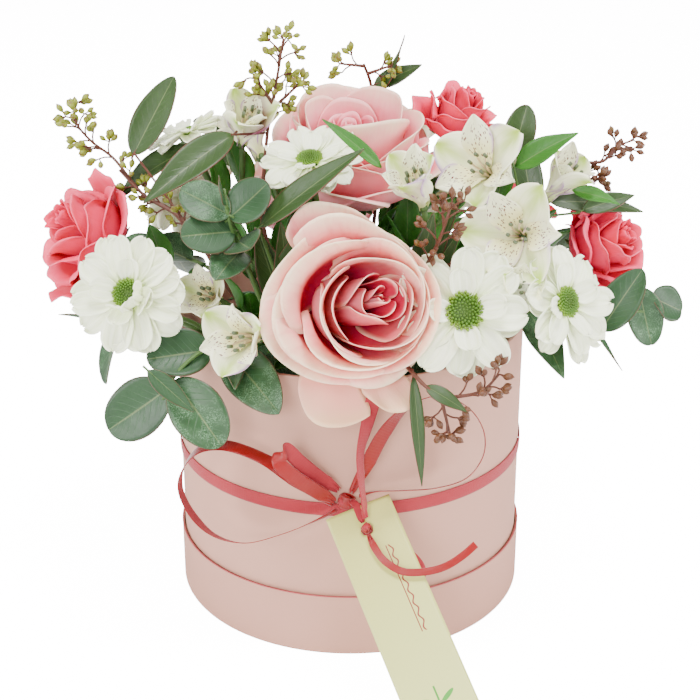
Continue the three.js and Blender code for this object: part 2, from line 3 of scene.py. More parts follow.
import bpy
import numpy as np
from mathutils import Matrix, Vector


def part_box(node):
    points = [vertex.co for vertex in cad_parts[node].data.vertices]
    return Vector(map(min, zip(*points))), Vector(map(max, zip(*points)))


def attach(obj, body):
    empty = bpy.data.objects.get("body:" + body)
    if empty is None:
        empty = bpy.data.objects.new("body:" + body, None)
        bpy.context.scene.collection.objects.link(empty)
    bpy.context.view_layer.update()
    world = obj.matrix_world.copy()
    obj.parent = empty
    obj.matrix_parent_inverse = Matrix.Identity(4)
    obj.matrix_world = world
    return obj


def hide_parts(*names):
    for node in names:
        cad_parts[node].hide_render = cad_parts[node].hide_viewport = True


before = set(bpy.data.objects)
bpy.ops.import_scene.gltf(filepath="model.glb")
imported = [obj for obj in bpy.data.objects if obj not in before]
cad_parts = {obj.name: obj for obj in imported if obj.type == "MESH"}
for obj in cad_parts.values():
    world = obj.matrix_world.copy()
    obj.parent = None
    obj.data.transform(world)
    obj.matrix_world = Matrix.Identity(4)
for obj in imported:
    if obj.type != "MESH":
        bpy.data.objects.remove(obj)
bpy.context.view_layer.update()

MM = 0.001
GOLDEN_TURN = math.pi * (3 - math.sqrt(5))
HOOP_SIDES = 240


# ---------------------------------------------------------------- numbers and lines

def mm(*place):
    """A place or a direction given in millimetres, as an array in metres."""
    return np.array(place, float) * MM


def unit(direction):
    direction = np.asarray(direction, float)
    return direction / np.linalg.norm(direction)


def smooth(low, high, x):
    t = np.clip((np.asarray(x, float) - low) / (high - low), 0, 1)
    return t * t * (3 - 2 * t)


def blend(a, b, t):
    return a + (b - a) * t


def curve_through(places, steps):
    """Points of a smooth curve through the places, a centripetal Catmull-Rom spline."""
    places = [np.asarray(p, float) for p in places]
    first = 2 * places[0] - places[1]
    last = 2 * places[-1] - places[-2]
    held = [first] + places + [last]
    spans = len(places) - 1
    line = []
    for i in range(steps + 1):
        at = i / steps * spans
        k = min(int(at), spans - 1)
        w = at - k
        p0, p1, p2, p3 = held[k:k + 4]
        d0, d1, d2 = (max(np.linalg.norm(b - a), 1e-9) ** 0.5 for a, b in ((p0, p1), (p1, p2), (p2, p3)))
        m1 = ((p1 - p0) / d0 - (p2 - p0) / (d0 + d1) + (p2 - p1) / d1) * d1
        m2 = ((p2 - p1) / d1 - (p3 - p1) / (d1 + d2) + (p3 - p2) / d2) * d1
        line.append((2 * w ** 3 - 3 * w ** 2 + 1) * p1 + (w ** 3 - 2 * w ** 2 + w) * m1
                    + (3 * w ** 2 - 2 * w ** 3) * p2 + (w ** 3 - w ** 2) * m2)
    return np.array(line)


def through(places, steps):
    """The same curve, through places given in millimetres."""
    return curve_through([mm(*p) for p in places], steps)


def length_of(line):
    return float(np.linalg.norm(np.diff(line, axis=0), axis=1).sum())


def directions(line):
    """The unit direction of a line at each of its points."""
    ahead = np.gradient(line, axis=0)
    return ahead / np.linalg.norm(ahead, axis=1, keepdims=True)


def taper(t, start, run, power, least):
    """1 up to the start, then a rounded fall towards a tip, never below the least value."""
    return np.clip(1 - np.clip((t - start) / run, 0, 1) ** power, least, 1)


def facing(place, direction, spin=0.0):
    """The 4x4 matrix that takes +Z to the direction and the origin to the place."""
    z = unit(direction)
    side = np.array([1.0, 0, 0]) - z * z[0]
    x = unit(side) if np.linalg.norm(side) > 1e-3 else unit(np.cross([0, 1, 0], z))
    y = np.cross(z, x)
    turned_x = x * math.cos(spin) + y * math.sin(spin)
    turned_y = np.cross(z, turned_x)
    matrix = np.eye(4)
    matrix[:3, 0], matrix[:3, 1], matrix[:3, 2], matrix[:3, 3] = turned_x, turned_y, z, place
    return matrix


def moved(points, matrix):
    return points @ matrix[:3, :3].T + matrix[:3, 3]


# ---------------------------------------------------------------- meshes

class Shape:
    """Gathers surfaces for one piece. Every point keeps a mark, three numbers from 0 to 1
    that its material reads: along the part, across it, and its rank or kind."""

    def __init__(self):
        self.points = []
        self.marks = []
        self.faces = []
        self.slots = []
        self.count = 0

    def add(self, points, marks, faces, slot=0):
        points = np.asarray(points, float).reshape(-1, 3)
        self.points.append(points)
        self.marks.append(np.asarray(marks, float).reshape(-1, 3))
        self.faces.extend(tuple(int(i) + self.count for i in face) for face in faces)
        self.slots.extend([slot] * len(faces))
        self.count += len(points)

    def shell(self, rows, marks, thick, slot=0, back_slot=None):
        """A thin sheet from a grid of points: a front, a back and a rim."""
        n, m = rows.shape[:2]
        normal = np.cross(np.gradient(rows, axis=1), np.gradient(rows, axis=0))
        size = np.linalg.norm(normal, axis=2, keepdims=True)
        normal = normal / np.maximum(size, 1e-12)
        index = np.arange(n * m).reshape(n, m)
        front = np.stack([index[:-1, :-1], index[:-1, 1:], index[1:, 1:], index[1:, :-1]], -1).reshape(-1, 4)
        back = front[:, ::-1] + n * m
        loop = np.concatenate([index[0, :], index[1:, -1], index[-1, -2::-1], index[-2:0:-1, 0]])
        after = np.roll(loop, -1)
        rim = np.stack([after, loop, loop + n * m, after + n * m], -1)
        points = np.concatenate([rows + normal * thick / 2, rows - normal * thick / 2]).reshape(-1, 3)
        both = np.concatenate([marks, marks]).reshape(-1, 3)
        self.add(points, both, [*front, *back, *rim], slot)
        if back_slot is not None:
            start = len(self.slots) - len(back) - len(rim)
            self.slots[start:start + len(back)] = [back_slot] * len(back)

    def rings(self, points, around, middle, slot, rank):
        """A closed solid from equal rings of points, with its two end points last."""
        sides = len(around)
        n = (len(points) - 2) // sides
        marks = np.stack([np.repeat(np.linspace(0, 1, n), sides), np.tile(around, n),
                          np.full(n * sides, rank)], -1)
        marks = np.concatenate([marks, [[0, middle, rank], [1, middle, rank]]])
        faces = []
        for k in range(n - 1):
            for j in range(sides):
                a, b = k * sides + j, k * sides + (j + 1) % sides
                faces.append((a, b, b + sides, a + sides))
        end = (n - 1) * sides
        for j in range(sides):
            faces.append((n * sides, (j + 1) % sides, j))
            faces.append((n * sides + 1, end + j, end + (j + 1) % sides))
        self.add(points, marks, faces, slot)

    def tube(self, line, radii, sides=8, slot=0, rank=0.5):
        """A round tube with closed ends along a line; its mark runs along and around it."""
        line = np.asarray(line, float)
        radii = np.broadcast_to(radii, len(line))
        ahead = directions(line)
        side = np.cross(ahead[0], [0.31, 0.17, 0.93])
        rings = []
        for k, direction in enumerate(ahead):
            side = side - direction * (side @ direction)
            side = side / np.linalg.norm(side)
            other = np.cross(direction, side)
            turn = np.linspace(0, 2 * math.pi, sides, endpoint=False)[:, None]
            rings.append(line[k] + radii[k] * (np.cos(turn) * side + np.sin(turn) * other))
        around = np.linspace(0, 1, sides)
        self.rings(np.concatenate([*rings, line[:1], line[-1:]]), around, 0.5, slot, rank)

    def turned(self, profile, matrix, sides=24, slot=0, rank=0.5):
        """A closed solid turned about its axis; the profile starts and ends on the axis."""
        inner = profile[1:-1]
        turn = np.linspace(0, 2 * math.pi, sides, endpoint=False)
        rings = [np.stack([r * np.cos(turn), r * np.sin(turn), np.full(sides, z)], -1) for r, z in inner]
        ends = np.array([[0, 0, profile[0][1]], [0, 0, profile[-1][1]]])
        self.rings(moved(np.concatenate(rings + [ends]), matrix), turn / (2 * math.pi), 0, slot, rank)

    def hoop(self, profile, slot=0):
        """A ring turned about +Z from a closed outline of (radius, height) pairs."""
        n = len(profile)
        sides = HOOP_SIDES
        turn = np.linspace(0, 2 * math.pi, sides, endpoint=False)
        points = [(r * math.cos(a), r * math.sin(a), z) for r, z in profile for a in turn]
        marks = [(k / n, a / (2 * math.pi), 0.5) for k in range(n) for a in turn]
        faces = []
        for k in range(n):
            for j in range(sides):
                a, b = k * sides, (k + 1) % n * sides
                faces.append((a + j, a + (j + 1) % sides, b + (j + 1) % sides, b + j))
        self.add(points, marks, faces, slot)

    def build(self, name, materials):
        mesh = bpy.data.meshes.new(name)
        mesh.from_pydata(np.concatenate(self.points).tolist(), [], self.faces)
        mesh.polygons.foreach_set("material_index", self.slots)
        mesh.polygons.foreach_set("use_smooth", [True] * len(mesh.polygons))
        marks = mesh.attributes.new("mark", "FLOAT_VECTOR", "POINT")
        marks.data.foreach_set("vector", np.concatenate(self.marks).ravel())
        for made in materials:
            mesh.materials.append(made)
        mesh.validate()
        mesh.update()
        piece = bpy.data.objects.new(name, mesh)
        bpy.context.scene.collection.objects.link(piece)
        return piece


def place_piece(piece, body, node):
    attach(piece, body)
    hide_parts(node)


# ---------------------------------------------------------------- materials

class Finish:
    """A Principled material, with short calls for the nodes that drive it."""

    def __init__(self, name, roughness=0.5, **sockets):
        self.made = bpy.data.materials.new(name)
        self.made.use_nodes = True
        self.nodes = self.made.node_tree.nodes
        self.links = self.made.node_tree.links
        self.shader = self.nodes["Principled BSDF"]
        self.shader.inputs["Roughness"].default_value = roughness
        for socket, value in sockets.items():
            self.shader.inputs[socket.replace("_", " ")].default_value = value

    def node(self, kind, **settings):
        made = self.nodes.new("ShaderNode" + kind)
        for key, value in settings.items():
            setattr(made, key, value)
        return made

    def wire(self, value, socket):
        if isinstance(value, bpy.types.NodeSocket):
            self.links.new(value, socket)
        elif isinstance(value, tuple) and len(value) == 3 and socket.type == "RGBA":
            socket.default_value = (*value, 1)
        else:
            socket.default_value = value

    def mark(self):
        """The along, across and rank numbers kept at the points."""
        split = self.node("SeparateXYZ")
        self.wire(self.node("Attribute", attribute_name="mark").outputs["Vector"], split.inputs[0])
        return split.outputs

    def place(self):
        return self.node("TexCoord").outputs["Object"]

    def math(self, operation, a, b=0.0):
        made = self.node("Math", operation=operation)
        self.wire(a, made.inputs[0])
        self.wire(b, made.inputs[1])
        return made.outputs[0]

    def times(self, a, b):
        return self.math("MULTIPLY", a, b)

    def off(self, value, middle):
        """How far the value is from the middle."""
        return self.math("ABSOLUTE", self.math("SUBTRACT", value, middle))

    def tint(self, shade, share, strength, colour):
        """The shade with some of the colour mixed in, the share times the strength."""
        return self.mix(self.times(share, strength), shade, colour)

    def step(self, value, low, high):
        """0 below low and 1 above high, smooth between them."""
        made = self.node("MapRange", interpolation_type="SMOOTHSTEP")
        self.wire(value, made.inputs["Value"])
        made.inputs["From Min"].default_value = low
        made.inputs["From Max"].default_value = high
        return made.outputs[0]

    def mix(self, share, a, b):
        made = self.node("MixRGB")
        self.wire(share, made.inputs[0])
        self.wire(a, made.inputs[1])
        self.wire(b, made.inputs[2])
        return made.outputs[0]

    def noise(self, scale, where=None, detail=3.0, rough=0.5, warp=0.0):
        made = self.node("TexNoise")
        self.wire(self.place() if where is None else where, made.inputs["Vector"])
        made.inputs["Scale"].default_value = scale
        made.inputs["Detail"].default_value = detail
        made.inputs["Roughness"].default_value = rough
        made.inputs["Distortion"].default_value = warp
        return made.outputs["Fac"]

    def grain(self, factors, detail):
        """Noise drawn out along or across the part, by the factors of its mark."""
        return self.noise(1.0, self.stretch(*factors), detail)

    def cells(self, scale, where=None):
        made = self.node("TexVoronoi")
        self.wire(self.place() if where is None else where, made.inputs["Vector"])
        made.inputs["Scale"].default_value = scale
        return made.outputs[0]

    def stretch(self, x, y, z):
        """The mark as a vector, each number times its own factor."""
        along, across, rank = self.mark()
        made = self.node("CombineXYZ")
        for socket, value, factor in zip(made.inputs, (along, across, rank), (x, y, z)):
            self.wire(self.times(value, factor), socket)
        return made.outputs[0]

    def colour(self, value):
        self.wire(value, self.shader.inputs["Base Color"])

    def done(self, shade, height, strength, distance=0.0005):
        """The material, with its colour and the bumps of its surface."""
        self.colour(shade)
        made = self.node("Bump")
        made.inputs["Strength"].default_value = strength
        made.inputs["Distance"].default_value = distance
        self.wire(height, made.inputs["Height"])
        self.links.new(made.outputs[0], self.shader.inputs["Normal"])
        return self.made


def soft_tissue(name, roughness, weight, radius, scale=0.003):
    """A petal or leaf: a little light passes through it."""
    return Finish(name, roughness, Subsurface_Weight=weight, Subsurface_Radius=radius,
                  Subsurface_Scale=scale, Specular_IOR_Level=0.35)


def rose_finish(name, deep_and_painted_shade, inner, pale, edge):
    """Deep at the heart and low on each petal (partly painted shade), paler towards its lip and the outer
    petals.
    """
    f = soft_tissue(name, 0.55, 0.25, (1.0, 0.35, 0.3))
    along, across, rank = f.mark()
    streaks = f.grain((3, 26, 60), 4)
    cloud = f.noise(90)
    height = f.math("ADD", along, f.times(f.math("SUBTRACT", cloud, 0.5), 0.22))
    # Painted shade: the deep colour low in the heart, and the inner colour low on the outer petals, stand
    # partly for shade in the bloom's depths and partly for the petal's own colour.
    heart = f.mix(f.step(height, 0.45, 0.86), deep_and_painted_shade, inner)
    heart = f.mix(f.step(height, 0.86, 1.0), heart, pale)
    outer = f.mix(f.step(height, 0.4, 0.9), inner, pale)
    outer = f.mix(f.step(height, 0.72, 1.02), outer, edge)
    shade = f.mix(f.step(rank, 0.12, 0.55), heart, outer)
    rim = f.step(f.off(across, 0.5), 0.40, 0.5)
    shade = f.tint(shade, rim, 0.6, edge)
    shade = f.tint(shade, f.step(streaks, 0.45, 0.7), 0.16, inner)
    return f.done(shade, streaks, 0.25)


def white_petal_finish(name, white, shadow, base_green):
    f = soft_tissue(name, 0.5, 0.2, (0.8, 1.0, 0.6))
    along = f.mark()[0]
    grooves = f.grain((1.5, 14, 50), 2)
    shade = f.mix(f.step(along, 0.02, 0.4), base_green, white)
    shade = f.tint(shade, f.step(grooves, 0.4, 0.7), 0.55, shadow)
    return f.done(shade, grooves, 0.5, 0.0006)


def lily_finish():
    """White tepals with green tips and base, dark dashes on the inner ones, purple at the edges."""
    f = soft_tissue("alstroemeria_petal", 0.45, 0.2, (0.8, 1.0, 0.6))
    along, across, kind = f.mark()
    veins = f.grain((1.2, 18, 40), 3)
    inner = f.step(kind, 0.45, 0.55)
    middle = f.math("SUBTRACT", 1.0, f.times(f.off(across, 0.5), 2.0))
    shade = f.mix(f.times(f.step(veins, 0.42, 0.7), 0.5), (0.93, 0.93, 0.64), (0.76, 0.80, 0.40))
    green = f.mix(f.noise(60), (0.26, 0.44, 0.03), (0.52, 0.66, 0.12))
    tip = f.times(f.step(along, 0.62, 0.96), f.step(middle, 0.1, 0.85))
    outer_only = f.math("SUBTRACT", 1.0, inner)
    stripe = f.times(f.step(middle, 0.55, 0.97), f.step(along, 0.25, 0.9))
    greens = f.times(f.math("MAXIMUM", tip, f.times(stripe, 0.85)), outer_only)
    shade = f.mix(greens, shade, green)
    shade = f.tint(shade, f.step(along, 0.4, 0.05), 0.7, (0.46, 0.56, 0.10))
    glow = f.times(inner, f.step(f.off(along, 0.5), 0.24, 0.05))
    shade = f.tint(shade, glow, 0.35, (0.84, 0.74, 0.16))
    dashes = f.cells(1.0, f.stretch(15, 17, 30))
    spots = f.times(f.step(dashes, 0.36, 0.22), inner)
    reach = f.times(f.step(along, 0.3, 0.42), f.step(along, 0.93, 0.8))
    shade = f.tint(shade, spots, reach, (0.13, 0.012, 0.012))
    blush = f.times(f.step(f.noise(55, detail=1), 0.5, 0.62), f.step(middle, 0.3, 0.0))
    shade = f.tint(shade, blush, 0.75, (0.33, 0.10, 0.42))
    maroon = f.times(f.step(kind, 0.24, 0.28), f.step(kind, 0.44, 0.40))
    maroon = f.times(maroon, f.step(along, 0.92, 0.6))
    shade = f.tint(shade, maroon, 0.9, (0.15, 0.004, 0.035))
    return f.done(shade, veins, 0.4)


def leaf_finish(name, top, under, dust, dusting, red_edge):
    """A waxy leaf: pale midrib, branching veins, a red margin, and a grey bloom in patches."""
    f = soft_tissue(name, 0.5, 0.06, (0.4, 0.8, 0.3), 0.002)
    along, across, rank = f.mark()
    from_rib = f.times(f.off(across, 0.5), 2.0)
    slant = f.math("SUBTRACT", f.times(along, 9.0), f.times(from_rib, 2.6))
    lines = f.math("ABSOLUTE", f.math("SUBTRACT", f.math("FRACT", slant), 0.5))
    veins = f.times(f.step(lines, 0.10, 0.0), f.step(from_rib, 1.0, 0.1))
    cloud = f.noise(45, detail=4)
    shade = f.mix(cloud, top, under)
    shade = f.tint(shade, rank, 0.5, under)
    grains = f.step(f.noise(1500, detail=3, rough=0.7), 0.44, 0.66)
    patches = f.times(grains, f.step(f.noise(120, detail=3), 0.38, 0.62))
    powder = f.times(f.step(rank, 0.15, 0.85), dusting)
    shade = f.tint(shade, patches, powder, dust)
    shade = f.tint(shade, veins, 0.12, dust)
    shade = f.tint(shade, f.step(from_rib, 0.055, 0.01), 0.45, (0.17, 0.21, 0.08))
    shade = f.tint(shade, f.step(from_rib, 0.94, 0.995), red_edge, (0.11, 0.028, 0.020))
    f.wire(f.math("ADD", 0.42, f.times(patches, 0.3)), f.shader.inputs["Roughness"])
    return f.done(shade, f.math("SUBTRACT", cloud, f.times(veins, 0.6)), 0.35)


def seed_finish():
    """Seed buds, green where the rank is low and red-brown where it is high, darker at the tip."""
    f = Finish("seed_bud", 0.42, Specular_IOR_Level=0.4)
    along, _, rank = f.mark()
    cloud = f.noise(260)
    green = f.mix(cloud, (0.13, 0.15, 0.010), (0.26, 0.29, 0.025))
    brown = f.mix(cloud, (0.055, 0.016, 0.005), (0.13, 0.046, 0.014))
    shade = f.mix(f.step(rank, 0.2, 0.8), green, brown)
    shade = f.tint(shade, f.step(along, 0.72, 0.95), 0.6, (0.11, 0.035, 0.015))
    return f.done(shade, cloud, 0.3)


def stem_finish(name, low, high):
    f = Finish(name, 0.5, Specular_IOR_Level=0.4)
    fibres = f.grain((6, 24, 10), 3)
    return f.done(f.mix(fibres, low, high), fibres, 0.4)


def eye_finish():
    """The tight florets of a daisy's eye: green at the heart, yellow where they open."""
    f = Finish("daisy_eye", 0.6)
    rank = f.mark()[2]
    cloud = f.noise(300)
    shade = f.mix(f.step(rank, 0.15, 0.75), (0.036, 0.088, 0.002), (0.055, 0.145, 0.003))
    shade = f.tint(shade, f.step(rank, 0.7, 1.0), 0.75, (0.19, 0.30, 0.006))
    return f.done(f.mix(f.times(cloud, 0.4), shade, (0.11, 0.22, 0.008)), cloud, 0.3)


def paper_finish(name, light, dark, edge_shade):
    """Dyed paper over board: a fine felt grain, and faint mottling."""
    f = Finish(name, 0.72, Specular_IOR_Level=0.3)
    grain = f.noise(1400, detail=4, rough=0.65)
    mottle = f.noise(24, detail=3)
    shade = f.mix(mottle, light, dark)
    shade = f.tint(shade, f.step(grain, 0.45, 0.75), 0.22, edge_shade)
    return f.done(shade, grain, 0.22, 0.0002)


def satin_finish(name, thread, painted_sheen_thread, roughness):
    """Woven satin: fine threads along the ribbon streaked with painted sheen, and a selvedge at each side."""
    f = Finish(name, roughness, Sheen_Weight=0.15, Sheen_Roughness=0.4, Specular_IOR_Level=0.4,
               Anisotropic=0.5)
    along, across, _ = f.mark()
    threads = f.grain((30, 150, 1), 3)
    ribs = f.math("SINE", f.times(along, 1500.0))
    selvedge = f.step(f.off(across, 0.5), 0.43, 0.47)
    # Painted sheen: the threads streaked towards the lighter sheen colour.
    shade = f.mix(threads, thread, painted_sheen_thread)
    shade = f.tint(shade, selvedge, 0.35, thread)
    height = f.math("ADD", threads, f.times(ribs, 0.25))
    return f.done(shade, f.math("ADD", height, selvedge), 0.3, 0.00025)


def foam_finish():
    f = Finish("floral_foam", 0.9)
    pores = f.cells(900)
    cloud = f.noise(35)
    # Painted shade in the pores: darker green in the pits.
    shade = f.mix(f.step(pores, 0.1, 0.6), (0.012, 0.045, 0.014), (0.05, 0.14, 0.045))
    return f.done(f.mix(cloud, shade, (0.03, 0.10, 0.035)), pores, 0.8, 0.001)


def film_finish():
    f = Finish("clear_film", 0.12, Transmission_Weight=0.85, IOR=1.2)
    folds = f.noise(60, detail=4, warp=1.5)
    return f.done(f.mix(folds, (0.86, 0.9, 0.88), (0.95, 0.97, 0.96)), folds, 0.6, 0.001)


# Rose colours, deep, inner, pale and edge: the deep colour (deepest on the insides) and the inner colour low
# on outer petals are partly painted shade in the bloom's depths.
PINK_ROSE = rose_finish("pink_rose_petal", (0.20, 0.001, 0.010), (0.62, 0.022, 0.08), (0.95, 0.44, 0.38),
                        (0.95, 0.70, 0.48))
PINK_ROSE_BACK = rose_finish("pink_rose_petal_back", (0.55, 0.03, 0.09), (0.92, 0.27, 0.31),
                             (0.95, 0.48, 0.42), (0.95, 0.68, 0.48))
BLUSH_ROSE = rose_finish("blush_rose_petal", (0.50, 0.02, 0.10), (0.88, 0.16, 0.25), (0.95, 0.36, 0.40),
                         (0.94, 0.66, 0.50))
BLUSH_ROSE_BACK = rose_finish("blush_rose_petal_back", (0.78, 0.11, 0.20), (0.92, 0.27, 0.32),
                              (0.95, 0.40, 0.42), (0.94, 0.68, 0.50))
CORAL_ROSE = rose_finish("coral_rose_petal", (0.34, 0.002, 0.022), (0.60, 0.006, 0.05), (0.74, 0.020, 0.085),
                         (0.90, 0.085, 0.16))
CORAL_ROSE_BACK = rose_finish("coral_rose_petal_back", (0.48, 0.004, 0.035), (0.68, 0.012, 0.065),
                              (0.82, 0.040, 0.12), (0.92, 0.11, 0.19))
GUARD_PETAL = rose_finish("rose_guard_petal", (0.50, 0.42, 0.20), (0.90, 0.42, 0.33), (0.88, 0.50, 0.36),
                          (0.84, 0.54, 0.32))
DAISY = white_petal_finish("daisy_petal", (0.93, 0.97, 0.72), (0.74, 0.83, 0.46), (0.46, 0.62, 0.10))
LILY = lily_finish()
EYE = eye_finish()
LONG_LEAF = leaf_finish("long_leaf", (0.011, 0.030, 0.005), (0.031, 0.063, 0.013), (0.09, 0.14, 0.05),
                        0.06, 0.9)
SILVER_LEAF = leaf_finish("silver_leaf", (0.008, 0.030, 0.009), (0.026, 0.074, 0.024), (0.15, 0.28, 0.15),
                          0.75, 0.5)
FRESH_LEAF = leaf_finish("fresh_leaf", (0.014, 0.080, 0.007), (0.04, 0.16, 0.015), (0.10, 0.26, 0.05),
                         0.05, 0.0)
SEED = seed_finish()
GREEN_STEM = stem_finish("green_stem", (0.035, 0.08, 0.016), (0.08, 0.15, 0.035))
RED_STEM = stem_finish("red_stem", (0.060, 0.012, 0.006), (0.12, 0.035, 0.015))
ANTHER = stem_finish("anther", (0.05, 0.07, 0.035), (0.12, 0.15, 0.07))
FILAMENT = stem_finish("filament", (0.62, 0.42, 0.32), (0.78, 0.66, 0.46))
BOX_PAPER = paper_finish("box_paper", (0.53, 0.288, 0.212), (0.50, 0.265, 0.196), (0.44, 0.215, 0.16))
LID_PAPER = paper_finish("lid_paper", (0.53, 0.28, 0.207), (0.50, 0.257, 0.190), (0.44, 0.205, 0.15))
CUT_EDGE = paper_finish("paper_edge", (0.44, 0.10, 0.10), (0.38, 0.08, 0.08), (0.30, 0.06, 0.06))
# Satin colours: the thread, then a lighter painted sheen along the threads.
RED_SATIN = satin_finish("red_satin", (0.18, 0.0006, 0.0006), (0.29, 0.002, 0.002), 0.28)
MATT_SATIN = satin_finish("matt_satin", (0.26, 0.006, 0.014), (0.37, 0.016, 0.027), 0.6)
FOAM = foam_finish()
FILM = film_finish()


# ---------------------------------------------------------------- camera

CAMERA_PLACE = (0, -0.812, 0.4775)
CAMERA_PITCH = 22.44
CAMERA_LENS = 77.14

camera_data = bpy.data.cameras.new("camera")
camera_data.lens = CAMERA_LENS
camera_data.sensor_width = 36
camera_data.clip_start = 0.01
camera = bpy.data.objects.new("camera", camera_data)
camera.location = CAMERA_PLACE
camera.rotation_euler = (math.radians(90 - CAMERA_PITCH), 0, 0)
bpy.context.scene.collection.objects.link(camera)
bpy.context.scene.camera = camera


# ---------------------------------------------------------------- ribbon

RIBBON_WIDTH = 7.8 * MM
RIBBON_THICK = 0.4 * MM
RIBBON_STEPS = 120
GATHERED = 0.42
GATHER_LENGTH = 0.1
SATIN_FACES = [RED_SATIN, MATT_SATIN]
EDGE_ON = (.06, .9, -.43)
EDGE_ON_LOW = (-.04, .87, -.49)


def ribbon(places, widths, width, steps, knotted=(True, True)):
    """A flat ribbon through the places, its width pointing as given at each: its shape and its line."""
    line = through(places, steps)
    across = curve_through(widths, steps)
    ahead = directions(line)
    side = across - ahead * np.sum(across * ahead, axis=1, keepdims=True)
    side /= np.linalg.norm(side, axis=1, keepdims=True)
    face = np.cross(ahead, side)
    t = np.linspace(0, 1, steps + 1)
    away = np.minimum(t if knotted[0] else 1, 1 - t if knotted[1] else 1)
    half = np.minimum(1, GATHERED + (1 - GATHERED) * away / GATHER_LENGTH) * width / 2
    pinch = np.clip(1 - away / GATHER_LENGTH, 0, 1)
    u = np.linspace(-1, 1, 9)
    rows = line[:, None] + side[:, None] * (half[:, None] * u)[..., None]
    crease = 0.9 * MM * pinch[:, None] * np.cos(2 * math.pi * u)
    rows = rows + face[:, None] * crease[..., None]
    marks = np.stack(np.broadcast_arrays(t[:, None] * length_of(line) / 0.3, (u + 1) / 2, 0.5), -1)
    made = Shape()
    made.shell(rows, marks, RIBBON_THICK, 0, 1)
    return made, line


def free_ribbon(name, body, places, widths, width=RIBBON_WIDTH,
                knotted=(True, True), flipped=False):
    made, line = ribbon(places, widths, width, RIBBON_STEPS, knotted)
    piece = made.build(name + "_ribbon", SATIN_FACES[::-1] if flipped else SATIN_FACES)
    place_piece(piece, body, name)


free_ribbon("loop_left", "box",
            [(-8.8, -106, 97), (-26, -109.5, 111.5), (-46, -109, 126), (-66, -104, 131), (-80, -99, 126),
             (-90, -95, 111), (-91, -94, 98), (-84, -98, 85), (-73, -102, 76), (-57, -105, 73),
             (-38, -107, 79), (-21, -108, 87), (-7.2, -106.6, 94)],
            [(.45, .2, .85), (.4, .3, .85), (.1, .9, .4), (0, 1, .3), (.1, 1, .2), (.2, 1, .1),
             (.2, 1, -.1), (.1, 1, 0), (0, .95, -.3)] + [EDGE_ON_LOW] * 4)
free_ribbon("loop_small", "box",
            [(-8.2, -109, 100.4), (-17, -113.5, 108.5), (-30, -118, 120.5), (-36.5, -119, 129),
             (-34, -115, 134), (-26, -112, 125), (-15, -108, 113), (-6, -104.4, 105)],
            [(.6, .1, .8), (.6, .2, .8), (.6, .3, .8), (.6, .4, .7), (.6, .4, .7), (.7, .3, .6),
             (.7, .2, .6), (.7, .1, .6)])
free_ribbon("loop_right", "box",
            [(.8, -106.8, 104.4), (8, -110.5, 121), (18, -113, 143), (30, -112, 157), (46, -110, 162),
             (61, -107, 154), (70, -103, 138), (70, -101.5, 123), (62, -103, 111.5), (46, -106, 107),
             (28, -107, 106), (13, -106.5, 105), (5.2, -105.6, 102)],
            [(1, 0, -.2), (.9, .1, -.4), (.8, .3, -.4), (.5, .8, -.3)] + [EDGE_ON] * 9)
free_ribbon("strand_up", "box",
            [(8.3, -120.4, 97), (7, -119, 108), (5.8, -118.5, 120), (5.4, -117, 133), (8.8, -114, 148),
             (12, -109.5, 160)],
            [(.5, .8, -.2), (.3, .9, -.3), (.4, .8, -.3), (.5, .8, -.3), (.85, .5, -.2), (1, .1, 0)],
            knotted=(True, False), flipped=True)
free_ribbon("tail_side", "box",
            [(-.4, -102.6, 93.2), (6, -104.4, 84), (15, -110, 77), (24, -118, 76), (31, -125, 76),
             (36, -130, 71), (34, -133, 64), (27, -136, 58)],
            [(1, -.2, .4), (.9, 0, .6), (.5, .1, .8), (.3, .4, .8), (.5, .5, .7), (.8, .4, .4),
             (.9, .3, -.2), (.8, .3, -.4)],
            knotted=(True, False))

TAG_DOWN = unit((.354, -.764, -.54))
TAG_ACROSS = unit((.926, .204, .318))
TAG_FRONT = np.cross(TAG_DOWN, TAG_ACROSS)
TAG_TOP = mm(3.85, -110.4, 98.0)
TAG_WIDTH = 36 * MM
TAG_LENGTH = 168 * MM
TAG_HOLE_DROP = 14.5  # in millimetres, as on_tag takes them
TAG_HOLE_RADIUS = 3.4
SOFT_INK = 0.004
TIE_WIDTH = RIBBON_WIDTH / 2


def on_tag(down, across, front):
    return TAG_TOP + MM * (TAG_DOWN * down + TAG_ACROSS * across + TAG_FRONT * front)


def to_mm(places):
    return [tuple(p / MM) for p in places]


# The tail's route on the card: down it, across it and in front of it, in millimetres.
TAIL_ON_TAG = [(18.6, -.4, 2.6), (27, 0, 3.4), (36, 2, 4.4), (45, 8, 5), (50, 18, 5.4), (52, 29, 6),
               (50.5, 40, 7), (48, 48, 8)]


free_ribbon("tail_front", "tag", to_mm(on_tag(*p) for p in TAIL_ON_TAG),
            [(.9, .1, .3), (.8, .1, .6), (.6, .1, .7), (.3, .2, .8), (0, .3, .9), (0, .3, .9),
             (0, .35, .9), (0, .4, .9)],
            width=TIE_WIDTH, knotted=(True, False), flipped=True)


def knot_coil(made, centre, axis, across, half_width, radius, tuck, slot):
    """One turn of gathered ribbon round a knot."""
    axis = unit(axis)
    start = unit(np.asarray(across, float) - axis * np.dot(across, axis))
    other = np.cross(axis, start)
    turn = np.linspace(-0.15, 1.12, 40) * 2 * math.pi
    u = np.linspace(-1, 1, 11)
    bulge = radius * (1 + 0.16 * (1 - u ** 2)[None, :] + 0.05 * np.cos(5 * u)[None, :])
    bulge = bulge * (1 + tuck * (turn / 6.3))[:, None]
    ring = np.cos(turn)[:, None, None] * start + np.sin(turn)[:, None, None] * other * 0.75
    rows = centre + ring * bulge[..., None] + axis * (half_width * u)[None, :, None]
    marks = np.stack(np.broadcast_arrays(turn[:, None] / 20, (u + 1)[None, :] / 2, 0.5), -1)
    made.shell(rows, marks, RIBBON_THICK, slot)


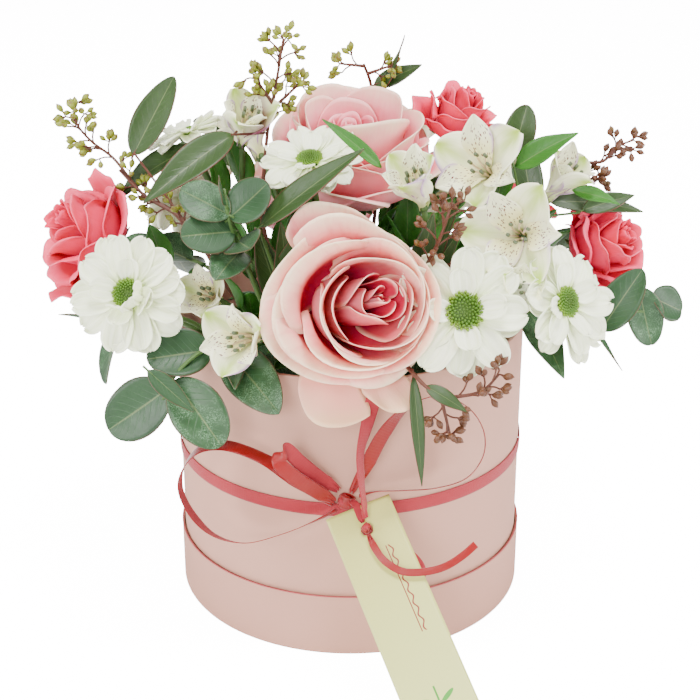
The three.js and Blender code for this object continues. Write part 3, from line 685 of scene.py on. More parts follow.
def ribbon_knot():
    made = Shape()
    low, high = (np.array(c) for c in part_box("ribbon_knot"))
    centre = (low + high) / 2
    knot_coil(made, centre, (0.35, 0, 0.94), (1, 0, 0), 3.4 * MM, 3.6 * MM, 0.10, 0)
    knot_coil(made, centre + mm(-1.6, 0.5, 0.4), (0.9, 0, -0.4), (0, -1, 0), 2.4 * MM, 3.0 * MM, 0.06, 1)
    made.turned([(0, -3.4 * MM), (2.4 * MM, -2 * MM), (3 * MM, 0), (2.4 * MM, 2 * MM), (0, 3.4 * MM)],
                facing(centre, (0.35, 0, 0.94)), 16, 0)
    place_piece(made.build("bow_knot", SATIN_FACES), "box", "ribbon_knot")


def tag_knot():
    made = Shape()
    for side in (1, -1):
        centre = on_tag(TAG_HOLE_DROP, 0, side * 3.1)
        knot_coil(made, centre, TAG_DOWN + 0.5 * TAG_ACROSS, TAG_ACROSS, 1.9 * MM, 2.1 * MM, 0.08, 0)
        knot_coil(made, centre, TAG_ACROSS, TAG_FRONT, 1.2 * MM, 1.8 * MM, 0.05, 1)
        made.turned([(0, -2 * MM), (1.5 * MM, -MM), (1.9 * MM, 0), (1.5 * MM, MM), (0, 2 * MM)],
                    facing(centre, TAG_DOWN), 14, 0)
    made.tube([on_tag(TAG_HOLE_DROP, 0, 3), on_tag(TAG_HOLE_DROP, 0, 0), on_tag(TAG_HOLE_DROP, 0, -3)],
              1.7 * MM, 12, 0)
    place_piece(made.build("tag_knot_ribbon", SATIN_FACES), "tag", "tag_knot")


def tag_tie():
    over_edge = [on_tag(-0.4, -0.6, 3.2), on_tag(4, -0.6, 3.2), on_tag(TAG_HOLE_DROP - 3.6, -0.6, 2.9)]
    places = [mm(0.4, -108.7, 100.6)] + over_edge
    made, _ = ribbon(to_mm(places), [tuple(TAG_ACROSS)] * 4, TIE_WIDTH, 24)
    place_piece(made.build("tag_tie_ribbon", SATIN_FACES), "box", "tag_tie")


def ribbon_band():
    """The ribbon round the box, drawn a little askew and slightly crowned."""
    low, high = (np.array(c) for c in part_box("ribbon_band"))
    middle, half = (low[2] + high[2]) / 2, (high[2] - low[2]) / 2
    radius = high[0] - 0.3 * MM
    turn = np.linspace(0, 2 * math.pi, 289)
    u = np.linspace(-1, 1, 9)
    askew = 0.5 * MM * np.sin(turn + 0.6)[:, None]
    crown = 0.25 * MM * (1 - u ** 2)[None, :]
    rows = np.stack([(radius + crown) * np.cos(turn)[:, None], (radius + crown) * np.sin(turn)[:, None],
                     middle + askew + half * u[None, :] + 0 * crown], -1)
    marks = np.stack(np.broadcast_arrays(turn[:, None] / 3, (u + 1)[None, :] / 2, 0.5), -1)
    made = Shape()
    made.shell(rows, marks, 0.35 * MM, 1)
    place_piece(made.build("band_ribbon", SATIN_FACES), "box", "ribbon_band")


ribbon_knot()
tag_knot()
tag_tie()
ribbon_band()


# ---------------------------------------------------------------- tag

def card_finish():
    """Coated card with a thin ruled line along it and a small sprig ornament at its foot."""
    f = Finish("tag_card", 0.45, Specular_IOR_Level=0.45)
    down, across, _ = f.mark()
    grain = f.noise(900, detail=3)
    shade = f.mix(f.step(down, 0.0, 0.8), (0.46, 0.44, 0.110), (0.56, 0.58, 0.185))
    shade = f.tint(shade, grain, 0.18, (0.68, 0.68, 0.30))

    def bar(value, middle, half):
        return f.step(f.off(value, middle), half + SOFT_INK, half)

    rule = f.times(bar(across, 0.66, 0.006), bar(down, 0.31, 0.15))
    wave = f.math("ADD", 0.72, f.times(f.math("SINE", f.times(down, 150.0)), 0.02))
    ripple = f.math("ABSOLUTE", f.math("SUBTRACT", across, wave))
    ripple = f.times(f.step(ripple, 0.016, 0.008), bar(down, 0.31, 0.15))
    shade = f.mix(f.math("MAXIMUM", rule, ripple), shade, (0.22, 0.012, 0.012))
    shade = f.mix(f.times(bar(across, 0.5, 0.012), bar(down, 0.76, 0.13)), shade, (0.05, 0.26, 0.02))
    for k in range(5):
        for side in (-1, 1):
            x = f.math("SUBTRACT", across, 0.5 + side * 0.13)
            y = f.times(f.math("SUBTRACT", down, 0.67 + 0.045 * k), 4.67)
            slant = f.math("ADD", y, f.times(x, side * 0.55))
            size = f.math("ADD", f.math("POWER", f.times(f.math("ABSOLUTE", x), 8.5), 2.0),
                          f.math("POWER", f.times(f.math("ABSOLUTE", slant), 24.0), 2.0))
            ink = (0.05, 0.28, 0.02) if (k + side) % 3 else (0.56, 0.02, 0.07)
            shade = f.mix(f.step(size, 1.0, 0.8), shade, ink)
    return f.done(shade, grain, 0.08, 0.0002)


def gift_tag():
    """The card: slightly bowed along its length, with a punched hole."""
    down_steps, across_steps = 85, 19
    t, u = np.meshgrid(np.linspace(0, 1, down_steps), np.linspace(-1, 1, across_steps), indexing="ij")
    rows = TAG_TOP + TAG_DOWN * (TAG_LENGTH * t)[..., None] + TAG_ACROSS * (TAG_WIDTH / 2 * u)[..., None]
    bow = 1.2 * MM * np.sin(math.pi * t) + 0.25 * MM * (1 - u ** 2) * smooth(0.12, 0.4, t)
    bow = bow * smooth(0.13, 0.3, t)
    rows = rows + TAG_FRONT * bow[..., None]
    off_x, off_y = u * TAG_WIDTH / 2 / MM, t * TAG_LENGTH / MM - TAG_HOLE_DROP
    reach = np.hypot(off_x, off_y)
    near = reach < TAG_HOLE_RADIUS + 2.6
    past = reach - TAG_HOLE_RADIUS
    spread = np.where(near, np.maximum(reach, TAG_HOLE_RADIUS + 0.35 * past * (past > 0)), reach)
    push = (spread - reach) / np.maximum(reach, 1e-6)
    rows = rows + TAG_ACROSS * (off_x * push * MM)[..., None] + TAG_DOWN * (off_y * push * MM)[..., None]
    made = Shape()
    thick = 0.45 * MM
    n, m = rows.shape[:2]
    index = np.arange(n * m).reshape(n, m)
    in_hole = reach.ravel() < TAG_HOLE_RADIUS * 0.98
    faces, rim = [], {}
    for i in range(n - 1):
        for j in range(m - 1):
            cell = (index[i, j], index[i, j + 1], index[i + 1, j + 1], index[i + 1, j])
            if in_hole[list(cell)].all():
                continue
            faces.append(cell)
            for a, b in zip(cell, cell[1:] + cell[:1]):
                rim[(a, b)] = True
    points = np.concatenate([(rows + TAG_FRONT * thick / 2).reshape(-1, 3),
                             (rows - TAG_FRONT * thick / 2).reshape(-1, 3)])
    marks = np.stack([t, (u + 1) / 2, 0 * t], -1).reshape(-1, 3)
    edges = [(a, b) for a, b in rim if (b, a) not in rim]
    every = [f[::-1] for f in faces] + [tuple(k + n * m for k in f) for f in faces]
    every += [(a, b, b + n * m, a + n * m) for a, b in edges]
    made.add(points, np.concatenate([marks, marks]), every)
    place_piece(made.build("gift_card", [card_finish()]), "tag", "gift_tag")


gift_tag()


# ---------------------------------------------------------------- box and lid

PAPER_EDGE = 0.5 * MM


def paper_hoop(inner, outer, low, high, round_low=0.0):
    """A paper-covered tube wall with softened edges, turned finer than the CAD node."""
    soft = PAPER_EDGE
    base = max(round_low, soft)
    profile = [(inner, low + soft), (inner + soft * 0.3, low + soft * 0.3), (inner + soft, low)]
    profile += [(outer - base + base * math.sin(a), low + base - base * math.cos(a))
                for a in np.linspace(0, math.pi / 2, 6)]
    profile += [(outer, blend(low, high, k)) for k in (0.3, 0.6, 0.9)]
    profile += [(outer, high - soft), (outer - soft * 0.3, high - soft * 0.3), (outer - soft, high),
                (inner + soft, high), (inner + soft * 0.3, high - soft * 0.3), (inner, high - soft)]
    made = Shape()
    made.hoop(profile)
    return made


def box_and_lid():
    wall_low, wall_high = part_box("box_wall")
    radius = wall_high[0]
    made = paper_hoop(radius - 2.2 * MM, radius, wall_low[2], wall_high[2])
    seam_turn = np.linspace(1.35, 1.48, 9)[None, :]
    heights = np.linspace(wall_low[2] + 2 * MM, wall_high[2] - 0.8 * MM, 12)[:, None]
    out = radius + 0.22 * MM + 0 * seam_turn
    rows = np.stack(np.broadcast_arrays(out * np.cos(seam_turn), out * np.sin(seam_turn), heights), -1)
    made.shell(rows, np.zeros(rows.shape) + 0.5, 0.3 * MM)
    place_piece(made.build("paper_box_wall", [BOX_PAPER]), "box", "box_wall")

    _, rim_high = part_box("lid_rim")
    outer = rim_high[0]
    made = paper_hoop(outer - 1.3 * MM, outer, 0, rim_high[2], 1.6 * MM)
    edge = [(outer - 0.9 * MM, rim_high[2] - 0.2 * MM), (outer + 0.12 * MM, rim_high[2] - 0.25 * MM),
            (outer + 0.12 * MM, rim_high[2] + 0.15 * MM), (outer - 0.9 * MM, rim_high[2] + 0.2 * MM)]
    made.hoop(edge, slot=1)
    place_piece(made.build("paper_lid_rim", [LID_PAPER, CUT_EDGE]), "lid", "lid_rim")

    for node, material in (("lid_disc", LID_PAPER), ("box_floor", BOX_PAPER),
                           ("floral_foam", FOAM), ("liner", FILM)):
        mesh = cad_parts[node].data
        mesh.materials.clear()
        mesh.materials.append(material)


box_and_lid()


# ---------------------------------------------------------------- petals and leaves

FRONT = (0, -.8, .6)
REAR = (0, .8, .6)
LEFT = (-.8, -.2, .6)
RIGHT = (.8, -.2, .6)
STEM_FOCUS = mm(0, 0, 92)
STEM_START = 47 * MM
STEM_STEPS = 14
INSIDE_WALL = 85 * MM
CLEAR_OF_RIM = 178 * MM
LEAF_THICK = 0.5 * MM
PETAL_THICK = 0.45 * MM
TEPAL_THICK = 0.4 * MM


def stem_line(base, face):
    """The route of a flower's stem from the foam to the base of its bloom."""
    away = unit(base - STEM_FOCUS)
    start = STEM_FOCUS + away * STEM_START
    reach = np.linalg.norm(base - start)
    lower = start + away * 0.35 * reach
    under = blend(base - face * 0.3 * reach, lower, 0.25)
    return curve_through([start, lower, under, base], STEM_STEPS)


def grid(n, m):
    """Numbers along (0 to 1, by rows) and across (-1 to 1, by columns)."""
    return np.meshgrid(np.linspace(0, 1, n), np.linspace(-1, 1, m), indexing="ij")


def marks_for(t, u, rank):
    return np.stack([np.clip(t, 0, 1), (u + 1) / 2, np.full(t.shape, rank)], -1)


def sheet(x, y, z, radius, matrix):
    """A grid of points given in bloom radii, put in place."""
    return moved(np.stack([x, y, z], -1) * radius, matrix)


def bloom_frame(place, face, size, spin):
    """A bloom's direction, centre and radius in metres, and the matrix that puts it in place."""
    face, centre = unit(face), mm(*place)
    return face, centre, size * MM, facing(centre, face, spin)


def turned_out(out, off, turn):
    """The x and y of points at a distance out along a turn, and off to its side."""
    return out * math.cos(turn) - off * math.sin(turn), out * math.sin(turn) + off * math.cos(turn)


def lathe(made, profile, radius, matrix, sides, slot, rank=0.5):
    """A solid turned about the bloom's axis, from a profile in bloom radii."""
    made.turned([(r * radius, z * radius) for r, z in profile], matrix, sides, slot, rank)


def leaf(made, start, end, width, faces, slot=0, shape="long", bend=0.0, twist=0.0, cup=0.15, fold=0.1,
         wave=0.0, rank=0.5, steps=(17, 9)):
    """A leaf from start to end: its outline, an arch along it, a fold at the midrib and wavy edges."""
    along = end - start
    length = np.linalg.norm(along)
    y = along / length
    x = unit(np.cross(y, faces))
    z = np.cross(x, y)
    t, u = grid(*steps)
    t = t ** 0.9 if shape == "long" else (1 - np.cos(math.pi * t)) / 2
    if shape == "long":
        outline = 3.85 * np.clip(t, 0, 1) ** 0.75 * (1 - t) ** 0.95 * (1 - 0.42 * t) + 0.03
    elif shape == "round":
        outline = np.sqrt(np.clip(1 - (2 * t - 1) ** 2, 0, 1)) * (1 - 0.12 * np.abs(t - 0.45)) + 0.015
    else:
        outline = 2.35 * np.clip(t, 0, 1) ** 0.55 * (1 - t) ** 0.62 * (1 - 0.12 * t) + 0.02
    half = width / 2 * outline
    turn = twist * (t - 0.4)
    lift = bend * length * np.sin(math.pi * t) + width * (cup * u ** 2 + fold * np.abs(u)) * outline
    lift = lift + wave * width * np.sin(9 * t + 2 * rank) * u * np.abs(u)
    off = half * u
    side = off * np.cos(turn) - lift * np.sin(turn) * 0.3
    rise = lift + off * np.sin(turn)
    rows = start + y * (length * t)[..., None] + x * side[..., None] + z * rise[..., None]
    made.shell(rows[:, ::-1], marks_for(t, u, rank)[:, ::-1], LEAF_THICK, slot)


# ---------------------------------------------------------------- roses

def rose_petal(made, matrix, radius, angle, spread, reach, top, roll, lip, rank, eye, rng,
               slots=(0, 1), ruffle=0.02, point=0.0, low=-0.62):
    """One petal: it climbs from the calyx, follows the bloom round, flares and rolls over at the lip."""
    t, u = grid(20, 21)
    width = 0.35 + 0.65 * np.sin(math.pi * 0.66 * t) ** 0.8
    lean = rng.uniform(-0.2, 0.2)
    s = t * (1 - (0.24 + 0.06 * rank) * np.abs(u - lean) ** 3)
    phi = angle + u * spread * width
    flare = float(smooth(0.5, 1.0, reach))
    a, b, c, d = (1 - s) ** 3, 3 * s * (1 - s) ** 2, 3 * s * s * (1 - s), s ** 3
    r = a * 0.09 + b * 0.92 * reach + c * (1.07 - 0.27 * flare) * reach + d * reach
    z = a * -0.70 + b * low + c * (top - 0.40 + 0.16 * flare) + d * top
    curl = lip * (0.75 + 0.5 * np.abs(u) ** 1.5) * np.clip((t - 0.8) / 0.2, 0, 1)
    r = r + roll * np.sin(curl)
    z = z - roll * (1 - np.cos(curl)) * 1.1
    r = r + point * np.clip(1 - 2.4 * np.abs(u - lean), 0, 1) * t ** 5
    phase = rng.uniform(0, 6.3, 3)
    strength = ruffle * s ** 3
    z = z + strength * np.sin(2.6 * u + phase[0]) + 0.4 * strength * np.sin(7.3 * u + phase[1])
    r = r * (1 + 0.06 * u) + strength * 1.3 * np.sin(2.1 * u + phase[2])
    keep = (1 - smooth(0.45, 1.1, r)) * smooth(-0.6, 0.1, z)
    bud = (1 - smooth(0.2, 0.44, r)) * smooth(-0.6, 0.1, z)
    x = r * np.cos(phi) + eye[0] * keep + 0.09 * bud
    y = r * np.sin(phi) + eye[1] * keep + 0.07 * bud
    rows = sheet(x, y, z, radius, matrix)
    made.shell(rows, marks_for(s, u, rank), PETAL_THICK, slots[0], slots[1])


# Layers of a garden rose from the heart out: petals, reach and top in bloom radii, half spread in
# radians, lip roll radius and turn, and rank for the colour.
BIG_ROSE = [
    (2, 0.04, 0.17, 1.9, 0.0, 0.0, 0.00), (2, 0.105, 0.19, 1.6, 0.01, 0.7, 0.02),
    (3, 0.19, 0.20, 1.2, 0.015, 0.9, 0.05), (3, 0.29, 0.20, 1.15, 0.02, 1.0, 0.12),
    (2, 0.43, 0.31, 1.1, 0.03, 1.1, 0.28), (3, 0.55, 0.47, 1.3, 0.03, 1.3, 0.45),
    (2, 0.61, 0.50, 1.4, 0.05, 1.5, 0.58), (3, 0.72, 0.40, 1.3, 0.06, 1.7, 0.70),
    (4, 0.88, 0.20, 1.3, 0.07, 1.6, 0.88), (4, 1.00, -0.04, 1.1, 0.07, 1.5, 1.00),
]
SPRAY_ROSE = [
    (3, 0.07, 0.62, 1.8, 0.02, 0.8, 0.00), (3, 0.16, 0.68, 1.4, 0.03, 1.2, 0.10),
    (3, 0.29, 0.70, 1.2, 0.06, 1.5, 0.25), (3, 0.45, 0.66, 1.1, 0.09, 1.8, 0.45),
    (3, 0.64, 0.52, 1.0, 0.11, 1.9, 0.65), (4, 0.86, 0.28, 0.85, 0.12, 1.7, 0.85),
    (4, 1.02, -0.06, 0.75, 0.12, 1.4, 1.00),
]


def sepals(made, matrix, radius, slot):
    """The green hip and five pointed sepals under a rose."""
    hip = [(0, -0.80), (0.08, -0.80), (0.13, -0.74), (0.14, -0.67), (0.10, -0.60), (0, -0.58)]
    lathe(made, hip, radius, matrix, 16, slot)
    for k in range(5):
        turn = 2 * math.pi * k / 5
        start = np.array([0.1 * math.cos(turn), 0.1 * math.sin(turn), -0.66]) * radius
        end = np.array([0.62 * math.cos(turn), 0.62 * math.sin(turn), -0.62 - 0.06 * (k % 2)]) * radius
        start, end = moved(np.stack([start, end]), matrix)
        leaf(made, start, end, 0.16 * radius, matrix[:3, 2], slot, bend=-0.08, steps=(9, 5))


def stem_leaves(made, line, count, size, slot, rng):
    """Leaves spreading from a flower's stem between the blooms."""
    for k in range(count):
        at = line[5 + k * (len(line) - 7) // max(count, 1)]
        away = unit(unit(at - STEM_FOCUS) * 0.8 + 0.6 * unit(rng.normal(size=3)))
        length = size * rng.uniform(0.8, 1.15) * MM
        tip = at + away * length
        off_axis = np.hypot(*tip[:2])
        if at[2] < CLEAR_OF_RIM and off_axis > INSIDE_WALL:
            tip[:2] *= INSIDE_WALL / off_axis
        leaf(made, at, tip, 0.42 * length, unit(away * (0.6, 0.6, 0) + (0, 0, 1.0)), slot,
             bend=0.06, twist=rng.uniform(-0.4, 0.4), wave=0.03, steps=(13, 9))


def rose(name, place, face, size, kind, spin, eye=(0, 0), guards=(), seed=1, ruffle=0.02, point=0.0):
    layers, slot, materials = kind
    rng = np.random.default_rng(seed)
    face, centre, radius, matrix = bloom_frame(place, face, size, spin)
    made = Shape()
    turn = spin
    for count, reach, top, spread, roll, lip, rank in layers:
        turn += GOLDEN_TURN + 2 * math.pi / count * rng.uniform(0.3, 0.7)
        for k in range(count):
            angle = turn + 2 * math.pi * k / count + rng.uniform(-0.12, 0.12)
            rose_petal(made, matrix, radius, angle, spread,
                       reach * (1 + (0.02 + 0.05 * rank) * rng.uniform(-1, 1)),
                       top + (0.015 + 0.04 * rank) * rng.uniform(-1, 1), roll,
                       lip * rng.uniform(0.8, 1.15), rank, eye, rng, ruffle=ruffle * (0.5 + rank),
                       point=point * (0.3 + rank))
    for angle, reach, top, spread in guards:
        slots = (3, 3) if top < -0.15 else (0, 1)
        rose_petal(made, matrix, radius, angle - spin, spread, reach, top, 0.05, 0.6, 1.0, (0, 0), rng,
                   slots=slots, ruffle=1.3 * ruffle, point=point, low=-0.36)
    sepals(made, matrix, radius, 2)
    base = centre - face * 0.75 * radius
    line = stem_line(base, face)
    made.tube(line, 2.8 * MM if size > 35 else 2.2 * MM, 10, 2)
    stem_leaves(made, line, 6, 40, 4, rng)
    place_piece(made.build(name + "_bloom", materials), "arrangement", name)


# ---------------------------------------------------------------- daisies

def tip_grid(n, m):
    """A grid whose rows crowd towards the tip, and the step of each row."""
    t, u = grid(n, m)
    t = np.sin(math.pi / 2 * t)
    return t, u, np.diff(t, axis=0, prepend=0)


def daisy_petal(made, matrix, radius, turn, length, width, rise, curl, start, rng):
    """A broad white petal: cupped, grooved, with a blunt tip that curls."""
    t, u, step = tip_grid(15, 11)
    blunt = np.sqrt(taper(t, 0.7, 0.305, 2.6, 0.02))
    outline = (0.40 + 0.60 * smooth(0, 0.5, t)) * blunt
    off = width / 2 * u * outline
    angle = rise + curl * t ** 1.6
    forward = start + np.cumsum(np.cos(angle) * step, axis=0) * length
    up = np.cumsum(np.sin(angle) * step, axis=0) * length
    notch = 0.02 * np.cos(3 * math.pi * u) * smooth(0.9, 1.0, t)
    groove = -0.034 * np.cos(3 * math.pi * u) * smooth(0.05, 0.3, t)
    lift = up + width * (0.15 * u ** 2 + groove) + 0.04 * np.sin(4 * t + rng.uniform(0, 6)) * u * width
    skew = rng.uniform(-0.1, 0.1) * t ** 2 * length
    forward = forward - notch * length
    x, y = turned_out(forward, off + skew, turn)
    rows = sheet(x, y, lift, radius, matrix)
    made.shell(rows[:, ::-1], marks_for(t, u, rng.uniform())[:, ::-1], PETAL_THICK, 0)


# Layers of daisy petals from the outside in: petals, length and width in bloom radii, rise, curl.
DAISY_LAYERS = [(10, 1.0, 0.52, 0.0, -0.15), (8, 0.92, 0.48, 0.17, -0.25), (4, 0.66, 0.38, 0.55, -0.1)]
FLORETS = 110


def daisy(name, place, face, size, spin=0.0, hood=(), seed=1, eye_size=0.25):
    rng = np.random.default_rng(seed)
    face, centre, radius, matrix = bloom_frame(place, face, size, spin)
    made = Shape()
    for k, (count, length, width, rise, curl) in enumerate(DAISY_LAYERS):
        for j in range(count):
            turn = 2 * math.pi * (j + 0.45 * k) / count + rng.uniform(-0.13, 0.13)
            daisy_petal(made, matrix, radius, turn, (length - 0.12) * rng.uniform(0.92, 1.05),
                        width * rng.uniform(0.88, 1.1), rise + rng.uniform(-0.15, 0.2),
                        curl + rng.uniform(-0.35, 0.25), 0.12, rng)
    for turn, length, width, rise, curl in hood:
        daisy_petal(made, matrix, radius, turn - spin, length, width, rise, curl, 0.2, rng)
    for k in range(FLORETS):
        share = math.sqrt((k + 0.5) / FLORETS)
        r = eye_size * share
        turn = k * GOLDEN_TURN
        height = 0.05 + 0.10 * math.sqrt(max(0, 1 - (0.9 * share) ** 2))
        at = moved(np.array([[r * math.cos(turn), r * math.sin(turn), height]]) * radius, matrix)[0]
        outward = matrix[:3, 0] * math.cos(turn) + matrix[:3, 1] * math.sin(turn)
        lean = unit(matrix[:3, 2] + 0.7 * share * outward)
        wide = radius * (0.017 + 0.011 * share)
        floret_profile = [(0, -1), (1, 0), (0.75, 1.1), (0, 1.5)]
        lathe(made, floret_profile, wide, facing(at, lean), 6, 1, share)
    dome = [(0, -0.1), (eye_size * 0.98, -0.02), (eye_size * 0.96, 0.06), (eye_size * 0.5, 0.125), (0, 0.14)]
    lathe(made, dome, radius, matrix, 24, 1, 0.0)
    cup = [(0, -0.26), (0.08, -0.26), (0.2, -0.12), (0.22, 0.0), (0, 0.02)]
    lathe(made, cup, radius, matrix, 16, 2)
    base = centre - face * 0.26 * radius
    line = stem_line(base, face)
    made.tube(line, 2 * MM, 8, 2)
    stem_leaves(made, line, 4, 34, 3, rng)
    materials = [DAISY, EYE, GREEN_STEM, FRESH_LEAF]
    place_piece(made.build(name + "_bloom", materials), "arrangement", name)


# ---------------------------------------------------------------- alstroemerias

TEPAL_MARK = {"outer": 0.1, "maroon": 0.34, "inner": 0.9}


def tepal(made, matrix, radius, turn, length, width, open_low, open_high, kind, rng):
    """One of six tepals: narrow in the funnel, broad above, bent outwards towards its tip."""
    t, u, step = tip_grid(19, 13)
    angle = blend(open_low, open_high, smooth(0.12, 0.8, t))
    out = np.cumsum(np.sin(angle) * step, axis=0) * length
    up = np.cumsum(np.cos(angle) * step, axis=0) * length
    if kind != "inner":
        tip = taper(t, 0.6, 0.41, 2.1, 0.004) ** 0.62
        outline = (0.14 + 0.86 * smooth(0.06, 0.6, t)) * tip
    else:
        tip = taper(t, 0.66, 0.35, 1.7, 0.02)
        outline = (0.2 + 0.8 * smooth(0.1, 0.68, t)) * tip
    off = width / 2 * u * outline
    cup = (0.10 if kind == "inner" else 0.16) * width * u ** 2 * outline
    wave = 0.11 * width * np.sin(7 * t + rng.uniform(0, 6)) * u * np.abs(u)
    keel = -0.04 * width * np.exp(-(u / 0.25) ** 2) * smooth(0.1, 0.5, t)
    inward = cup + wave + keel
    x_out = 0.07 + out - inward * np.cos(angle)
    z_up = -1.0 + up + inward * np.sin(angle)
    x, y = turned_out(x_out, off, turn)
    rows = sheet(x, y, z_up, radius, matrix)
    made.shell(rows[:, ::-1], marks_for(t, u, TEPAL_MARK[kind])[:, ::-1], TEPAL_THICK, 0)


def floret(made, place, face, size, spin, open_out, kinds, rng):
    """One flower of six tepals with its stamens and ovary; returns the base of the funnel."""
    face, centre, radius, matrix = bloom_frame(place, face, size, spin)
    for k, kind in enumerate(kinds):
        turn = 2 * math.pi * k / 3
        tepal(made, matrix, radius, turn, 1.55 * rng.uniform(0.92, 1.05), 1.05, 0.2,
              open_out * rng.uniform(0.8, 1.12), kind, rng)
        tepal(made, matrix, radius, turn + math.pi / 3, 1.55 * rng.uniform(0.95, 1.06), 0.68, 0.15,
              open_out * 0.88 * rng.uniform(0.8, 1.1), "inner", rng)
    for k in range(6):
        turn = 2 * math.pi * k / 6 + 0.3
        places = [(0.05 * math.cos(turn), 0.05 * math.sin(turn), -0.85),
                  (0.12 * math.cos(turn), 0.12 * math.sin(turn), -0.3),
                  (0.2 * math.cos(turn) + 0.06, 0.2 * math.sin(turn) - 0.08, 0.12)]
        line = moved(curve_through(places, 8) * radius, matrix)
        made.tube(line, 0.5 * MM, 6, 1)
        made.tube([line[-1] - 1.6 * MM * face, line[-1] + 1.8 * MM * face], 1.0 * MM, 7, 2)
    ovary = [(0, -1.12), (0.1, -1.06), (0.13, -0.98), (0.1, -0.9), (0, -0.88)]
    lathe(made, ovary, radius, matrix, 12, 3)
    return centre - face * radius


def alstroemeria(name, place, face, size, spin=0.0, open_out=1.05, seed=1, leaves=(),
                 kinds=("outer", "outer", "outer"), second=None):
    """A stem with one open flower, sometimes a second small one, and its bright leaves."""
    rng = np.random.default_rng(seed)
    made = Shape()
    base = floret(made, place, face, size, spin, open_out, kinds, rng)
    line = stem_line(base, unit(face))
    made.tube(line, 1.7 * MM, 8, 3)
    if second:
        low = floret(made, *second, 0.5, 0.8, kinds, rng)
        made.tube(curve_through([line[8], blend(line[9], low, 0.6), low], 8), 1.2 * MM, 7, 3)
    stem_leaves(made, line, 5, 36, 4, rng)
    for start, end, width in leaves:
        leaf(made, mm(*start), mm(*end), width * MM, FRONT, 4, bend=0.08, twist=0.5, wave=0.03)
    materials = [LILY, FILAMENT, ANTHER, GREEN_STEM, FRESH_LEAF]
    place_piece(made.build(name + "_bloom", materials), "arrangement", name)


# ---------------------------------------------------------------- the flowers in their places

# Kinds of rose: layers of petals, slot, and materials (petal's outside, its inside, stem, guard petal,
# leaf).
PINK_GARDEN = (BIG_ROSE, "pink_rose_petal", [PINK_ROSE_BACK, PINK_ROSE, GREEN_STEM, GUARD_PETAL, FRESH_LEAF])
BLUSH_GARDEN = (BIG_ROSE, "pink_rose_petal",
                [BLUSH_ROSE_BACK, BLUSH_ROSE, GREEN_STEM, GUARD_PETAL, FRESH_LEAF])
CORAL_SPRAY = (SPRAY_ROSE, "coral_rose_petal",
               [CORAL_ROSE_BACK, CORAL_ROSE, GREEN_STEM, CORAL_ROSE_BACK, FRESH_LEAF])

rose("rose_front", (0, -103, 212), (.14, -.87, .47), 43.5, PINK_GARDEN, 0.4, eye=(0.22, -0.17),
     guards=[(-1.74, 1.40, -0.22, 0.40), (-1.12, 1.32, -0.24, 0.26), (1.72, 1.14, -0.06, 0.62)],
     seed=11, ruffle=0.055)
rose("rose_back", (3, 16, 263), (.03, -.2, .98), 47, BLUSH_GARDEN, 1.3,
     eye=(0.05, 0.05), seed=12)
rose("rose_rear", (-22, 88, 218), (-.1, .8, .6), 43, BLUSH_GARDEN, 2.1, seed=13)
rose("spray_rose_left", (-150, -6, 215), (-.75, -.35, .5), 30, CORAL_SPRAY, 0.2,
     guards=[(3.0, 1.35, 0.05, 0.5), (-2.3, 1.30, 0.0, 0.5), (-1.4, 1.25, 0.05, 0.5), (1.2, 1.25, 0.1, 0.45)],
     seed=21, ruffle=0.07, point=0.16)
rose("spray_rose_upper", (64, 42, 272), (.4, -.1, .9), 23, CORAL_SPRAY, 0.9,
     seed=22, ruffle=0.08, point=0.12)
rose("spray_rose_right", (145, -6, 210), (.7, -.5, .45), 26, CORAL_SPRAY, 1.7,
     guards=[(-0.9, 1.2, -0.1, 0.5)], seed=23, ruffle=0.07, point=0.14)
rose("spray_rose_rear", (98, 84, 214), (.65, .65, .5), 28, CORAL_SPRAY, 2.5,
     seed=24, ruffle=0.07, point=0.12)

daisy("daisy_left", (-113, -92, 211), (-.12, -.9, .42), 31, seed=31,
      hood=[(-0.9, 0.5, 0.42, 1.15, 1.1), (-0.1, 0.45, 0.40, 1.2, 0.9), (-1.8, 0.45, 0.40, 1.1, 0.9),
            (-0.5, 0.6, 0.44, 0.9, 0.5)])
daisy("daisy_centre", (58, -98, 204), (.08, -.9, .42), 35, spin=0.3, seed=32, eye_size=0.28)
daisy("daisy_right", (111, -80, 202), (.65, -.65, .35), 32, spin=0.6, seed=33)
daisy("daisy_top", (-21, -46, 268), (-.1, -.35, .93), 27, seed=34)
daisy("daisy_far_left", (-92, 12, 268), (-.4, .1, .9), 22, seed=35)
daisy("daisy_rear_left", (-98, 74, 214), (-.6, .7, .4), 31, seed=36)
daisy("daisy_rear_right", (48, 118, 204), (.25, .88, .42), 31, seed=37)

alstroemeria("alstroemeria_upper_right", (67, -42, 266), (-.42, -.75, .5), 26, spin=0.5, seed=41)
alstroemeria("alstroemeria_right", (84, -80, 240), (-.3, -.88, .36), 27, spin=1.0, open_out=1.1, seed=42,
             second=((88, -90, 214), (.1, -.9, .4), 15))
alstroemeria("alstroemeria_centre", (32, -70, 266), (-.3, -.45, .85), 22, spin=0.2, open_out=0.55, seed=43)
alstroemeria("alstroemeria_far_right", (118, -24, 256), (.5, -.35, .78), 22, spin=0.9, open_out=0.5, seed=44,
             leaves=[((88, -38, 263), (120, -40, 282), 13), ((120, -30, 248), (146, -30, 240), 8)])
alstroemeria("alstroemeria_left", (-58, -106, 192), (-.5, -.8, .3), 22, spin=0.3, open_out=0.85, seed=45)
alstroemeria("alstroemeria_low_left", (-76, -78, 206), (-.35, -.8, .48), 17, spin=0.7, open_out=0.9, seed=46)
alstroemeria("alstroemeria_upper_left", (-56, -4, 283), (.2, -.45, .86), 22, spin=0.1, open_out=0.6, seed=47,
             kinds=("maroon", "outer", "outer"))
alstroemeria("alstroemeria_rear_left", (-62, 62, 262), (-.4, .6, .7), 25, spin=0.4, open_out=1.0, seed=48)
